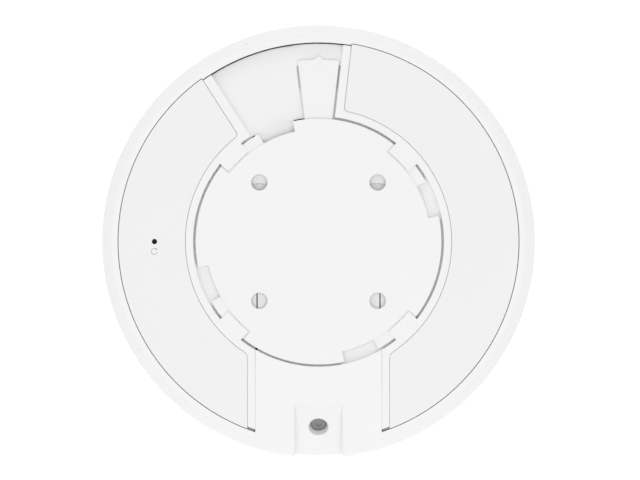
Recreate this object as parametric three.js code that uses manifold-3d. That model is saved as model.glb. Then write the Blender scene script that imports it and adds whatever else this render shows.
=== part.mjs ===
// A round ceiling access point, locked onto its twist-lock mounting bracket.
// Millimetres. +Z points at the ceiling, so the dome that faces the room is lowest.
// The origin is the centre of the bracket's ceiling face. Angles are in degrees, anticlockwise from +X.
import * as THREE from "three";
import { mergeVertices } from "three/addons/utils/BufferGeometryUtils.js";
import Module from "manifold-3d";

const wasm = await Module();
wasm.setup();

// ---- Driving dimensions ----
const FREE = 0.3; // gap between neighbours that don't move against each other
const OVER = 1; // how far a cut or a join runs past the surface it meets
const DEEP = -60; // a level below the whole part

// Case
const OUTER_R = 110;
const HEIGHT = 48;
const PARTING_Z = -9.2; // widest level, where the rear ring meets the dome
const RIM_TOP_Z = -0.8;
const RIM_INNER_R = 101.85;
const RIM_FLAT_R = 103.8;
const DOME_FULLNESS = 0.8; // exponent of the dome's curve: lower is squarer
const SHELL = 2.4;
const LIP = 3; // the rear ring's lip, inside the dome's edge
const LIP_WALL = 1.7;
const LIP_GAP = 0.8;
const RIM_STEPS = 5;
const DOME_STEPS = 10;

// Bracket
const BRACKET_R = 62.35;
const BRACKET_PLATE = 2.4;
const BRACKET_DEPTH = 4.6;
const SKIRT = 2;
const TRACK_INNER_R = 57;
const TRACK_Z = -2.2;
const SCREW_HOLE_SPACING = 60;
const SCREW_HOLE_R = 4.1;
const SCREW_BOSS_WALL = 2;
const SCREW_BOSS = 0.8; // how far it stands below the plate
const LUG_ANGLES = [45, 135, 225, 315];
const UNLOCK_TURN = 24.3;
const NOTCH_HALF_ANGLE = 8.5;
const TRACK_END_ANGLE = 7.6; // past the lug's centre
const TRACK_WALL_ANGLE = 2.5;

// Release tongue
const TONGUE_HALF_ANGLE = 6.55;
const TONGUE_R = 92.4;
const TONGUE_TOP_Z = -2.6;
const TONGUE_UNDER_Z = -4.4;
const ARROW_HALF_WIDTH = 2.3;
const ARROW_TIP_R = 94.3;

// Rear chassis
const CHASSIS_R = 100.3;
const RIB_TOP_Z = -0.6;
const RING_INNER_R = 63.55;
const RING_OUTER_R = 67.45;
const DECK_TOP_Z = -5.6;
const DECK = 2.2;
const DECK_UNDER_Z = DECK_TOP_Z - DECK;
const LUG_CHORD_R = 57.5;
const LUG_HALF_WIDTH = 7.4;
const LUG_TOP_Z = -0.3;
const LUG_UNDER_Z = -1.9;
const BAY_LEFT_ANGLE = 122.8;
const BAY_LEFT_RIB = 4.92;
const BAY_RIGHT_ANGLE = 90 - TONGUE_HALF_ANGLE;
const BAY_RIGHT_GAP = 1.2;
const BAY_RIGHT_RIB = 5.2;
const TAIL_RIB_INNER_X = 32.15;
const TAIL_RIB_OUTER_X = 35.98;
const SLOT_INNER_R = 78.6;
const SLOT_OUTER_R = 97.5;
const SLOT_SIDE_GAP = 0.9;
const SLOT_FLOOR_Z = -9;
const SLOT_WALL = 1.4;
const CATCH_TOP_Z = -4.7;
const CATCH_FLAT = 2; // from the slot's side to the top of the ramp
const CATCH_FOOT = 9; // from the slot's side to the foot of the ramp

// Plug well under the bracket, the socket in it, and the sloping shelf that takes the cable up to the bay
const WELL_X = [-20, 6];
const WELL_Y = [31.4, 48];
const WELL_FLOOR_Z = -19.3;
const WELL_WALL = 1.4;
const WELL_BACK_TOP_Z = -9.5;
const SHELF_X = [-31, 6];
const SHELF_Y = [WELL_Y[1] + WELL_WALL + FREE, 61];
const SHELF_LOW_Z = -9.2;
const SHELF_WALL = 1.6;
const CABLE_LUG_ANGLE = 135; // the lug whose notch lies over the shelf
const JACK_X = [-16, 0];
const JACK_Y = [9.7, 31];
const JACK_Z = [-21.6, -8.1];
const JACK_ROOM = 2.6; // how far the well's floor stays off the jack's front
const SOCKET_HALF_WIDTH = 5.95;
const SOCKET_BACK_Y = 16;
const SOCKET_Z = [-18.3, -10.3];
const LATCH_WAY_HALF_WIDTH = 3;
const LATCH_WAY_UNDER_Z = -20;
const CONTACTS = 8;
const CONTACT_PITCH = 1.02;
const CONTACT_WIDTH = 0.5;
const CONTACT_PROFILE = [[17.5, -11], [17.5, -11.6], [26, -13.4], [26, -12.8]]; // side view, (y, z)
const CONTACT_BAR = 1.7;
const CONTACT_BAR_WIDTH = 10;
const CONTACT_BAR_Y = 17.15;
const CONTACT_BAR_Z = [-12.6, -10.6];

// Back panels
const PANEL_TOP_Z = -0.7;
const PANEL = 2.2;
const PANEL_UNDER_Z = PANEL_TOP_Z - PANEL;
const PANEL_INNER_R = RING_OUTER_R + FREE;
const PANEL_OUTER_R = RIM_INNER_R - FREE;
const PANEL_CORNER = 2;
const PEG_R = 2;
const PEG_ANGLES = [-18, 12, 42]; // from the X axis
const RESET_X = -83.2;
const PINHOLE_R = 1.2;
const GUIDE_R = 3.4; // tube that guides the reset plunger
const GUIDE_BORE_R = 2;

// Tail plate and lock channel
const TAIL_X = 31.85;
const TAIL_INNER_X = 31;
const TAIL_FREE = 0.65; // round the part that lies under the bracket
const TAIL_START_Y = -50;
const TAIL_END_Y = 29.4;
const TAIL_WALL = 2;
const TAIL_BEND_R = BRACKET_R + 1; // where the tail steps down to pass under the bracket
const CHANNEL_X = 11.9;
const CHANNEL_START_R = 81.6;
const CHANNEL_SLOPE = 28.5;
const CHANNEL_WALL = 2.2;
const LOCK_R = 94.3;
const LOCK_MOUTH_R = 5.05;
const LOCK_BORE_R = 4.5;
const LOCK_DEPTH = 4.2;
const LOCK_BOSS_R = 7.2;
const LOCK_BOSS = 11;
const LOCK_BOSS_SUNK = 0.5; // below the channel's floor
const LOCK_PILOT_R = 2.1;
const LOCK_HEAD_R = 4.15;
const LOCK_HEAD_EDGE_R = 3.5;
const LOCK_SHANK_R = 1.9;
const LOCK_DRIVE_R = 1.5;
const LOCK_HEAD_DEPTHS = [2.4, 2.8, 4]; // top, edge and underside of the head
const LOCK_DRIVE_DEPTH = 3.5;
const LOCK_TIP_DEPTH = 9.3;

// Board stack
const BOARD_R = 92;
const BOARD_TOP_Z = -21.6;
const BOARD_UNDER_Z = -23.2;
const BOARD_PARTS_Z = BOARD_TOP_Z + FREE;
const CAN_TOP_Z = BOARD_UNDER_Z - FREE;
const CAN_UNDER_Z = -28;
const CAN_WALL = 0.5;
const CANS = { processor: [0, -34, 36, 34], radio_a: [-40, 8, 34, 28], radio_b: [40, 8, 34, 28] };
const PAD_INSET = 5;
const PAD_UNDER_Z = -29.6;
const SPREADER_R = 78;
const SPREADER_TOP_Z = -29.9;
const SPREADER_UNDER_Z = -31.4;
const TRANSFORMER = [[-16, 0], [-9, 4], [BOARD_PARTS_Z, -16]];
const INDUCTOR = [[22, 34], [-6, 6], [BOARD_PARTS_Z, -15]];
const CAPACITOR_R = 5;
const CAPACITOR_TOP_Z = -11;
const CAPACITOR_PLACES = [[26, -24], [40, -24]];

// Posts and screws
const POST_PLACES = [[55, 55], [-55, 55], [-55, -55], [55, -55]];
const POST_R = 4;
const POST_PILOT_R = 1.65;
const POST_PILOT_TOP_Z = -11;
const SCREW_WAY_R = 1.9; // clearance hole in the board and the spreader
const SCREW_R = 1.45;
const SCREW_END_Z = -12.5;
const SCREW_HEAD_R = 2.9;
const SCREW_HEAD_EDGE_R = 2.4;
const SCREW_HEAD = 1.8;
const SCREW_HEAD_EDGE = 1;
const SCREW_DRIVE_R = 1;
const SCREW_DRIVE = 0.9;

// Reset button and status light
const SWITCH = 6;
const SWITCH_TOP_Z = -18.9;
const PLUNGER_R = 1.5;
const PLUNGER_Z = [-18.1, -6];
const PLUNGER_COLLAR_R = 2.7;
const PLUNGER_COLLAR_Z = [-10, -8.7];
const LED = 1.6; // half its side
const LED_UNDER_Z = -24.6;
const LIGHT_R = 2.8;
const LIGHT_INNER_R = 2;
const LIGHT_TOP_Z = -25.6;
const LIGHT_ROUND = 0.5;
const LIGHT_CROWN = 0.1;
const LIGHT_COLLAR_R = 5.5;
const LIGHT_COLLAR_Z = [-45, -44];
const LIGHT_WAY = 2; // gap round the light pipe in the spreader

// Antennas: each is a foot, an upright and a roof of bent sheet, at its own angle
const ANTENNA_ANGLES = [20, 160, 200, 340];
const ANTENNA_FOOT = [[39, 53], [-10, 10], [-32.4, -31.7]];
const ANTENNA_UPRIGHT = [[45.6, 46.4], [-10, 10], [-39.2, -32]];
const ANTENNA_ROOF = [[40, 52], [-8, 8], [-39.9, -39.1]];
const CABLE_R = 0.7;
const CABLE_STEPS = 10;
const CABLE_ROUTE = [
  [54.5, -33.2],
  [62, -33.4],
  [74, -33],
  [80.6, -31.6],
  [82.2, -28.4],
  [81, -25.4],
  [76, -24.4],
];

const COLOURS = {
  whiteShell: { color: 0xf1f2f4, roughness: 0.42, metalness: 0 },
  whiteInner: { color: 0xf4f5f6, roughness: 0.5, metalness: 0 },
  board: { color: 0x1d5a36, roughness: 0.55, metalness: 0 },
  aluminium: { color: 0xb9bcc0, roughness: 0.4, metalness: 1 },
  steel: { color: 0x9a9da1, roughness: 0.35, metalness: 1 },
  darkSteel: { color: 0x2b2c2e, roughness: 0.45, metalness: 1 },
  brass: { color: 0xc9a24a, roughness: 0.3, metalness: 1 },
  blackPlastic: { color: 0x1c1c1e, roughness: 0.5, metalness: 0 },
  greyPad: { color: 0x8d9399, roughness: 0.9, metalness: 0 },
  clearLens: { color: 0xdfe9f2, roughness: 0.15, metalness: 0 },
};

// ---- Shape helpers ----
const SIDES = 72;
const FACET = 360 / SIDES;
const BOARD_SIDES = 48;
const MEDIUM_SIDES = 24;
const SMALL_SIDES = 16;
const TINY_SIDES = 12;
const HEX = 6;

const ALONG_X = new THREE.Vector3(1, 0, 0);
const ALONG_Y = new THREE.Vector3(0, 1, 0);
const ALONG_Z = new THREE.Vector3(0, 0, 1);

const radians = THREE.MathUtils.degToRad;
const degrees = THREE.MathUtils.radToDeg;

function polar(radius, angle) {
  return new THREE.Vector2(radius * Math.cos(radians(angle)), radius * Math.sin(radians(angle)));
}

// The point of a line that runs beside the spoke at an angle, a distance to its left, at a given radius.
function beside(angle, left, radius) {
  const along = Math.sqrt(radius * radius - left * left);
  return polar(along, angle).add(polar(left, angle + 90));
}

// The point at an angle on the regular polygon that stands for a circle about the origin.
function onFacets(radius, angle) {
  const middle = (Math.floor(angle / FACET) + 0.5) * FACET;
  return polar((radius * Math.cos(radians(FACET / 2))) / Math.cos(radians(angle - middle)), angle);
}

function angleBeside(angle, left, radius) {
  return angle + degrees(Math.asin(left / radius));
}

function arc(radius, from, to) {
  const [low, high] = [Math.min(from, to), Math.max(from, to)];
  const points = [onFacets(radius, low)];
  for (let k = Math.floor(low / FACET) + 1; k * FACET < high; k += 1) {
    points.push(polar(radius, k * FACET));
  }
  points.push(onFacets(radius, high));
  return from < to ? points : points.reverse();
}

function circle(radius, sides, x = 0, y = 0) {
  const centre = new THREE.Vector2(x, y);
  return Array.from({ length: sides }, (_, i) => polar(radius, (i * 360) / sides).add(centre));
}

function solid(geometry) {
  const bare = geometry.index ? geometry.toNonIndexed() : geometry.clone();
  bare.deleteAttribute("normal");
  bare.deleteAttribute("uv");
  const merged = mergeVertices(bare, 1e-4);
  const vertProperties = merged.attributes.position.array;
  const triVerts = new Uint32Array(merged.index.array);
  return new wasm.Manifold(new wasm.Mesh({ numProp: 3, vertProperties, triVerts }));
}

function join(...solids) {
  return solids.reduce((whole, piece) => whole.add(piece));
}

// An outline pushed up from one level to another.
function prism(points, low, high) {
  const options = { depth: high - low, bevelEnabled: false };
  const body = new THREE.ExtrudeGeometry(new THREE.Shape(points), options);
  return solid(body.translate(0, 0, low));
}

// An outline in a plane given by its two directions, pushed along the third.
function placedPrism(points, length, right, up, forward, origin) {
  const options = { depth: length, bevelEnabled: false };
  const body = new THREE.ExtrudeGeometry(new THREE.Shape(points), options);
  const place = new THREE.Matrix4().makeBasis(right, up, forward).setPosition(origin);
  return solid(body.applyMatrix4(place));
}

// A side-view outline of (y, z) points, pushed along X.
function sidePrism(profile, x0, x1) {
  const points = profile.map(([y, z]) => new THREE.Vector2(y, z));
  return placedPrism(points, x1 - x0, ALONG_Y, ALONG_Z, ALONG_X, new THREE.Vector3(x0, 0, 0));
}

function block([x0, x1], [y0, y1], [z0, z1]) {
  const body = new THREE.BoxGeometry(x1 - x0, y1 - y0, z1 - z0);
  return solid(body.translate((x0 + x1) / 2, (y0 + y1) / 2, (z0 + z1) / 2));
}

function disc(radius, low, high, sides = SIDES, x = 0, y = 0) {
  return prism(circle(radius, sides, x, y), low, high);
}

function ring(inner, outer, low, high, sides = SIDES, x = 0, y = 0) {
  return disc(outer, low, high, sides, x, y).subtract(disc(inner, low - OVER, high + OVER, sides, x, y));
}

function sector(inner, outer, from, to, low, high) {
  return prism([...arc(outer, from, to), ...arc(inner, to, from)], low, high);
}

// A strip beside a spoke, between two distances to its left, from one radius to another.
function strip(angle, left0, left1, radius0, radius1, low, high) {
  const corners = [[left0, radius0], [left0, radius1], [left1, radius1], [left1, radius0]];
  return prism(corners.map(([left, radius]) => beside(angle, left, radius)), low, high);
}

// A (radius, z) profile turned round Z; it starts and ends on the axis or closes on itself.
function turned(profile, sides = SIDES, x = 0, y = 0) {
  const points = profile.map(([r, z]) => new THREE.Vector2(r, z));
  return solid(new THREE.LatheGeometry(points, sides).rotateX(Math.PI / 2).translate(x, y, 0));
}

function node(name, shape, material) {
  const made = shape.getMesh();
  const geometry = new THREE.BufferGeometry();
  geometry.setAttribute("position", new THREE.BufferAttribute(made.vertProperties, 3));
  geometry.setIndex(new THREE.BufferAttribute(made.triVerts, 1));
  geometry.computeVertexNormals();
  const mesh = new THREE.Mesh(geometry, new THREE.MeshStandardMaterial(COLOURS[material]));
  mesh.name = name;
  return mesh;
}

// ---- Case ----
function domeCurve(radius, depth, holeRadius, steps) {
  const curve = [];
  const last = Math.acos((holeRadius / radius) ** (1 / DOME_FULLNESS));
  for (let i = 0; i <= steps; i += 1) {
    const t = (last * i) / steps;
    curve.push([radius * Math.cos(t) ** DOME_FULLNESS, PARTING_Z - depth * Math.sin(t)]);
  }
  return curve;
}

function rimCurve(radius, top, flat, steps) {
  const curve = [];
  for (let i = 0; i <= steps; i += 1) {
    const t = ((Math.PI / 2) * i) / steps;
    curve.push([flat + (radius - flat) * Math.sin(t), PARTING_Z + (top - PARTING_Z) * Math.cos(t)]);
  }
  return curve;
}

// The case's whole outer form, solid.
function outerForm() {
  const rim = rimCurve(OUTER_R, RIM_TOP_Z, RIM_FLAT_R, RIM_STEPS);
  const dome = domeCurve(OUTER_R, HEIGHT + PARTING_Z, 0, DOME_STEPS);
  return turned([[0, -HEIGHT], ...dome.slice(1, -1).reverse(), ...rim.reverse(), [0, RIM_TOP_Z]]);
}

const SLOPE = Math.tan(radians(CHANNEL_SLOPE));
const channelFloor = (y) => PANEL_TOP_Z - (-y - CHANNEL_START_R) * SLOPE;
const LOCK_AXIS = ALONG_Z.clone().applyAxisAngle(ALONG_X, radians(CHANNEL_SLOPE));
const LOCK_MOUTH = new THREE.Vector3(0, -LOCK_R, channelFloor(-LOCK_R));

// A (radius, depth) profile turned round the lock screw's axis; depth is from the channel's floor.
function aboutLockAxis(profile, sides) {
  const points = profile.map(([r, depth]) => new THREE.Vector2(r, -depth));
  const body = new THREE.LatheGeometry(points, sides);
  const turn = new THREE.Quaternion().setFromUnitVectors(ALONG_Y, LOCK_AXIS);
  return solid(body.applyQuaternion(turn).translate(LOCK_MOUTH.x, LOCK_MOUTH.y, LOCK_MOUTH.z));
}

function channelCut(halfWidth, drop, endY) {
  const startY = -CHANNEL_START_R + (OVER - PANEL_TOP_Z) / SLOPE;
  const profile = [[startY, OVER - drop], [endY, channelFloor(endY) - drop], [endY, OVER]];
  return sidePrism(profile, -halfWidth, halfWidth);
}

const TROUGH_X = CHANNEL_X + CHANNEL_WALL;
const TROUGH_DROP = CHANNEL_WALL / Math.cos(radians(CHANNEL_SLOPE));
const PAST_RIM_Y = -(OUTER_R + 5 * OVER);

function troughBlock() {
  const startY = -CHANNEL_START_R + TROUGH_DROP;
  const under = (y) => channelFloor(y) - TROUGH_DROP;
  const profile = [
    [startY, PANEL_TOP_Z],
    [startY, under(startY)],
    [PAST_RIM_Y, under(PAST_RIM_Y)],
    [PAST_RIM_Y, PANEL_TOP_Z],
  ];
  return sidePrism(profile, -TROUGH_X, TROUGH_X).intersect(outerForm());
}

function tailPlate() {
  const past = RIM_INNER_R + OVER;
  const plate = block([-TAIL_X, TAIL_X], [-past, 0], [PANEL_TOP_Z - SHELL, PANEL_TOP_Z]);
  const side = (x) => block([x, x + TAIL_WALL], [-CHASSIS_R, TAIL_START_Y], [DECK_UNDER_Z, PANEL_TOP_Z]);
  const sides = join(side(-TAIL_X), side(TAIL_X - TAIL_WALL)).intersect(disc(CHASSIS_R, DEEP, 0));
  const bend = disc(TAIL_BEND_R + TAIL_WALL, DECK_UNDER_Z, PANEL_TOP_Z);
  const bendPart = bend.intersect(block([-TAIL_X, TAIL_X], [-past, TAIL_START_Y], [DEEP, 0]));
  const outside = join(plate.intersect(disc(past, DEEP, 0)), sides, bendPart);
  const innerEnds = [-TAIL_BEND_R - TAIL_WALL, TAIL_END_Y];
  const inner = block([-TAIL_INNER_X, TAIL_INNER_X], innerEnds, [DECK_UNDER_Z, DECK_TOP_Z]);
  return outside
    .subtract(disc(TAIL_BEND_R, DEEP, OVER))
    .add(inner.intersect(disc(TAIL_BEND_R + TAIL_WALL, DEEP, 0)));
}

function rimProfile() {
  const outside = rimCurve(OUTER_R, RIM_TOP_Z, RIM_FLAT_R, RIM_STEPS);
  const inside = rimCurve(OUTER_R - SHELL, RIM_TOP_Z - SHELL, RIM_FLAT_R, RIM_STEPS - 2);
  const [lipR, lipUnder] = [OUTER_R - SHELL - LIP_GAP, PARTING_Z - LIP];
  const start = [RIM_INNER_R, RIM_TOP_Z - SHELL];
  const lip = [[lipR, PARTING_Z], [lipR, lipUnder], [lipR - LIP_WALL, lipUnder]];
  return [start, [RIM_INNER_R, RIM_TOP_Z], ...outside, ...lip, ...inside.slice(0, -1).reverse(), start];
}

// A plain round bar about the lock screw's axis, between two depths.
function lockBar(radius, from, to, sides) {
  return aboutLockAxis([[0, to], [radius, to], [radius, from], [0, from]], sides);
}

function rearRing() {
  const boss = lockBar(LOCK_BOSS_R, LOCK_BOSS_SUNK, LOCK_BOSS, MEDIUM_SIDES);
  const pilot = lockBar(LOCK_PILOT_R, LOCK_DEPTH - OVER, LOCK_BOSS - OVER, TINY_SIDES);
  const bore = lockBar(LOCK_BORE_R, -OVER, LOCK_DEPTH, MEDIUM_SIDES);
  const mouth = aboutLockAxis(
    [[0, OVER], [LOCK_BORE_R, OVER], [LOCK_MOUTH_R, 0], [LOCK_MOUTH_R, -OVER], [0, -OVER]],
    MEDIUM_SIDES,
  );
  return join(turned(rimProfile().reverse()), tailPlate(), troughBlock(), boss)
    .subtract(channelCut(CHANNEL_X, 0, PAST_RIM_Y))
    .subtract(join(bore, mouth))
    .subtract(pilot);
}

function frontDome() {
  const hole = LIGHT_R + FREE;
  const outside = domeCurve(OUTER_R, HEIGHT + PARTING_Z, hole, DOME_STEPS);
  const inside = domeCurve(OUTER_R - SHELL, HEIGHT + PARTING_Z - SHELL, hole, DOME_STEPS - 2);
  const top = PARTING_Z - FREE;
  const lowered = (curve) => curve.map(([r, z]) => [r, Math.min(z, top)]);
  const profile = [...lowered(outside).reverse(), ...lowered(inside)];
  profile.push(profile[0]);
  return turned(profile).subtract(channelCut(TROUGH_X + FREE, TROUGH_DROP + FREE, PAST_RIM_Y));
}

function lockScrew() {
  const [top, edge, under] = LOCK_HEAD_DEPTHS;
  const body = [
    [0, LOCK_TIP_DEPTH],
    [LOCK_SHANK_R, LOCK_TIP_DEPTH],
    [LOCK_SHANK_R, under],
    [LOCK_HEAD_R, under],
    [LOCK_HEAD_R, edge],
    [LOCK_HEAD_EDGE_R, top],
    [0, top],
  ];
  const drive = lockBar(LOCK_DRIVE_R, top - OVER, LOCK_DRIVE_DEPTH, HEX);
  return aboutLockAxis(body, MEDIUM_SIDES).subtract(drive);
}

// ---- Bracket ----
function mountBracket() {
  let body = disc(BRACKET_R, -BRACKET_PLATE, 0);
  body = body.add(ring(BRACKET_R - SKIRT, BRACKET_R, -BRACKET_DEPTH, -OVER));
  const past = BRACKET_R + OVER;
  for (const lug of LUG_ANGLES) {
    const open = lug === CABLE_LUG_ANGLE;
    const from = lug - UNLOCK_TURN + (open ? NOTCH_HALF_ANGLE : -NOTCH_HALF_ANGLE - TRACK_WALL_ANGLE);
    const to = lug + TRACK_END_ANGLE + TRACK_WALL_ANGLE;
    body = body.add(sector(TRACK_INNER_R - SKIRT, BRACKET_R, from, to, -BRACKET_DEPTH, -OVER));
  }
  for (const lug of LUG_ANGLES) {
    const notch = lug - UNLOCK_TURN;
    const [from, to] = [notch - NOTCH_HALF_ANGLE, notch + NOTCH_HALF_ANGLE];
    body = body.subtract(sector(TRACK_INNER_R, past, from, to, DEEP, OVER));
    body = body.subtract(sector(TRACK_INNER_R, past, notch, lug + TRACK_END_ANGLE, TRACK_Z, OVER));
  }
  const half = SCREW_HOLE_SPACING / 2;
  for (const [x, y] of [[half, half], [-half, half], [-half, -half], [half, -half]]) {
    const bossR = SCREW_HOLE_R + SCREW_BOSS_WALL;
    body = body.add(disc(bossR, -BRACKET_PLATE - SCREW_BOSS, -OVER, MEDIUM_SIDES, x, y));
    body = body.subtract(disc(SCREW_HOLE_R, DEEP, OVER, MEDIUM_SIDES, x, y));
  }
  return body;
}

function latchTongue() {
  const [from, to] = [90 - TONGUE_HALF_ANGLE, 90 + TONGUE_HALF_ANGLE];
  const blade = sector(BRACKET_R + FREE, TONGUE_R, from, to, TONGUE_UNDER_Z, TONGUE_TOP_Z);
  const root = TONGUE_R - OVER;
  const tip = [[-ARROW_HALF_WIDTH, root], [ARROW_HALF_WIDTH, root], [0, ARROW_TIP_R]];
  const arrow = prism(tip.map(([x, y]) => new THREE.Vector2(x, y)), TONGUE_UNDER_Z, TONGUE_TOP_Z);
  return blade.add(arrow);
}

// ---- Rear chassis ----
function lug(angle) {
  const root = RING_INNER_R + OVER;
  const corners = [[LUG_CHORD_R, -1], [root, -1], [root, 1], [LUG_CHORD_R, 1]];
  const outline = corners.map(([along, side]) => {
    return polar(along, angle).add(polar(side * LUG_HALF_WIDTH, angle + 90));
  });
  return prism(outline, LUG_UNDER_Z, LUG_TOP_Z);
}

function bayCut() {
  const [near, far] = [BRACKET_R - OVER, CHASSIS_R + OVER];
  const right = (radius) => beside(BAY_RIGHT_ANGLE, -BAY_RIGHT_GAP, radius);
  const past = polar(2 * far, (BAY_LEFT_ANGLE + BAY_RIGHT_ANGLE) / 2);
  const outline = [right(near), right(far), past, polar(far, BAY_LEFT_ANGLE), polar(near, BAY_LEFT_ANGLE)];
  return prism(outline, DECK_TOP_Z, OVER);
}

// The slot that the tongue lies over, closed by a floor, and the low ramp on its left side.
function slotOutline(grow) {
  const [near, far] = [SLOT_INNER_R - grow, SLOT_OUTER_R + grow];
  const right = (radius) => beside(BAY_RIGHT_ANGLE, -BAY_RIGHT_GAP - grow, radius);
  const left = (radius) => beside(90 + TONGUE_HALF_ANGLE, SLOT_SIDE_GAP + grow, radius);
  return [right(near), right(far), left(far), left(near)];
}

function catchRamp() {
  const angle = 90 + TONGUE_HALF_ANGLE;
  const right = ALONG_Y.clone().applyAxisAngle(ALONG_Z, radians(angle));
  const forward = ALONG_X.clone().applyAxisAngle(ALONG_Z, radians(angle));
  const root = DECK_TOP_Z - OVER;
  const profile = [
    [SLOT_SIDE_GAP, root],
    [CATCH_FOOT, root],
    [CATCH_FOOT, DECK_TOP_Z],
    [CATCH_FLAT, CATCH_TOP_Z],
    [SLOT_SIDE_GAP, CATCH_TOP_Z],
  ];
  const points = profile.map(([across, z]) => new THREE.Vector2(across, z));
  const origin = forward.clone().multiplyScalar(SLOT_INNER_R);
  return placedPrism(points, SLOT_OUTER_R - SLOT_INNER_R, right, ALONG_Z, forward, origin);
}

// A cup let into the deck, with a low back wall that the cable passes over.
function plugWell() {
  const [x0, x1] = WELL_X;
  const [y0, y1] = WELL_Y;
  const cup = block(
    [x0 - WELL_WALL, x1 + WELL_WALL],
    [y0 - WELL_WALL, y1 + WELL_WALL],
    [WELL_FLOOR_Z - WELL_WALL, DECK_TOP_Z],
  );
  const window = block(
    [JACK_X[0] - FREE, JACK_X[1] + FREE],
    [y0 - WELL_WALL - OVER, y0 + JACK_ROOM],
    [JACK_Z[0] - FREE, JACK_Z[1] + FREE],
  );
  return cup
    .subtract(block(WELL_X, WELL_Y, [WELL_FLOOR_Z, OVER]))
    .subtract(block(WELL_X, [y1 - OVER, SHELF_Y[0]], [WELL_BACK_TOP_Z, OVER]))
    .subtract(window);
}

// The hole in the deck for the plug well, and the shelf behind it.
function plugWellSeat(body) {
  const [x0, x1] = SHELF_X;
  const [y0, y1] = SHELF_Y;
  const under = SHELF_LOW_Z - SHELF_WALL;
  const past = y1 + SHELF_WALL;
  const shell = [[y0, under], [past, DECK_UNDER_Z], [past, DECK_TOP_Z], [y0, DECK_TOP_Z]];
  const hollow = [[y0, SHELF_LOW_Z], [y1, DECK_TOP_Z], [y1, OVER], [y0, OVER]];
  const grown = ([low, high]) => [low - WELL_WALL - FREE, high + WELL_WALL + FREE];
  const hole = block(grown(WELL_X), grown(WELL_Y), [DEEP, OVER]);
  return body
    .add(sidePrism(shell, x0 - WELL_WALL, x1 + WELL_WALL))
    .subtract(sidePrism(hollow, x0, x1))
    .subtract(hole);
}

function chassisRibs() {
  const [root, past] = [RING_INNER_R + OVER, CHASSIS_R + OVER];
  const foot = DECK_TOP_Z - OVER;
  const inside = disc(CHASSIS_R, DEEP, 0).subtract(disc(RING_INNER_R, DECK_TOP_Z, OVER));
  const tailRib = (x) => {
    const width = TAIL_RIB_OUTER_X - TAIL_RIB_INNER_X;
    return block([x, x + width], [-past, TAIL_START_Y], [foot, RIB_TOP_Z]);
  };
  const ribs = join(
    strip(BAY_LEFT_ANGLE, 0, BAY_LEFT_RIB, root, past, foot, RIB_TOP_Z),
    strip(BAY_RIGHT_ANGLE, -BAY_RIGHT_RIB, -BAY_RIGHT_GAP, root, past, foot, RIB_TOP_Z),
    tailRib(-TAIL_RIB_OUTER_X),
    tailRib(TAIL_RIB_INNER_X),
    ring(RING_INNER_R, RING_OUTER_R, foot, RIB_TOP_Z),
  );
  return ribs.intersect(inside);
}

// What the rear ring's tail plate takes out of the chassis.
function tailGaps() {
  const beyond = disc(TAIL_BEND_R - FREE, DEEP - OVER, 2 * OVER);
  const outer = block(
    [-TAIL_RIB_INNER_X, TAIL_RIB_INNER_X],
    [-CHASSIS_R - OVER, TAIL_START_Y],
    [DEEP, OVER],
  );
  const inner = block(
    [-TAIL_INNER_X - TAIL_FREE, TAIL_INNER_X + TAIL_FREE],
    [-TAIL_BEND_R - OVER, TAIL_END_Y + TAIL_FREE],
    [DECK_UNDER_Z - OVER, DECK_TOP_Z + OVER],
  );
  return outer.subtract(beyond).add(inner);
}

function rearChassis() {
  const slotShell = prism(slotOutline(SLOT_WALL), SLOT_FLOOR_Z - SLOT_WALL, DECK_UNDER_Z + OVER);
  let body = disc(CHASSIS_R, DECK_UNDER_Z, DECK_TOP_Z).add(chassisRibs()).subtract(bayCut());
  body = join(body, catchRamp(), slotShell).subtract(prism(slotOutline(0), SLOT_FLOOR_Z, OVER));
  body = plugWellSeat(body);
  for (const angle of LUG_ANGLES) {
    body = body.add(lug(angle));
  }
  for (const [x, y] of POST_PLACES) {
    body = body.add(disc(POST_R, BOARD_TOP_Z + FREE, DECK_UNDER_Z + OVER, SMALL_SIDES, x, y));
    body = body.subtract(disc(POST_PILOT_R, BOARD_TOP_Z - OVER, POST_PILOT_TOP_Z, TINY_SIDES, x, y));
  }
  body = body.add(disc(GUIDE_R, DECK_UNDER_Z, PANEL_UNDER_Z - FREE, SMALL_SIDES, RESET_X, 0));
  body = body.subtract(disc(GUIDE_BORE_R, DECK_UNDER_Z - OVER, 0, SMALL_SIDES, RESET_X, 0));
  return body.subtract(tailGaps());
}

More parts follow.
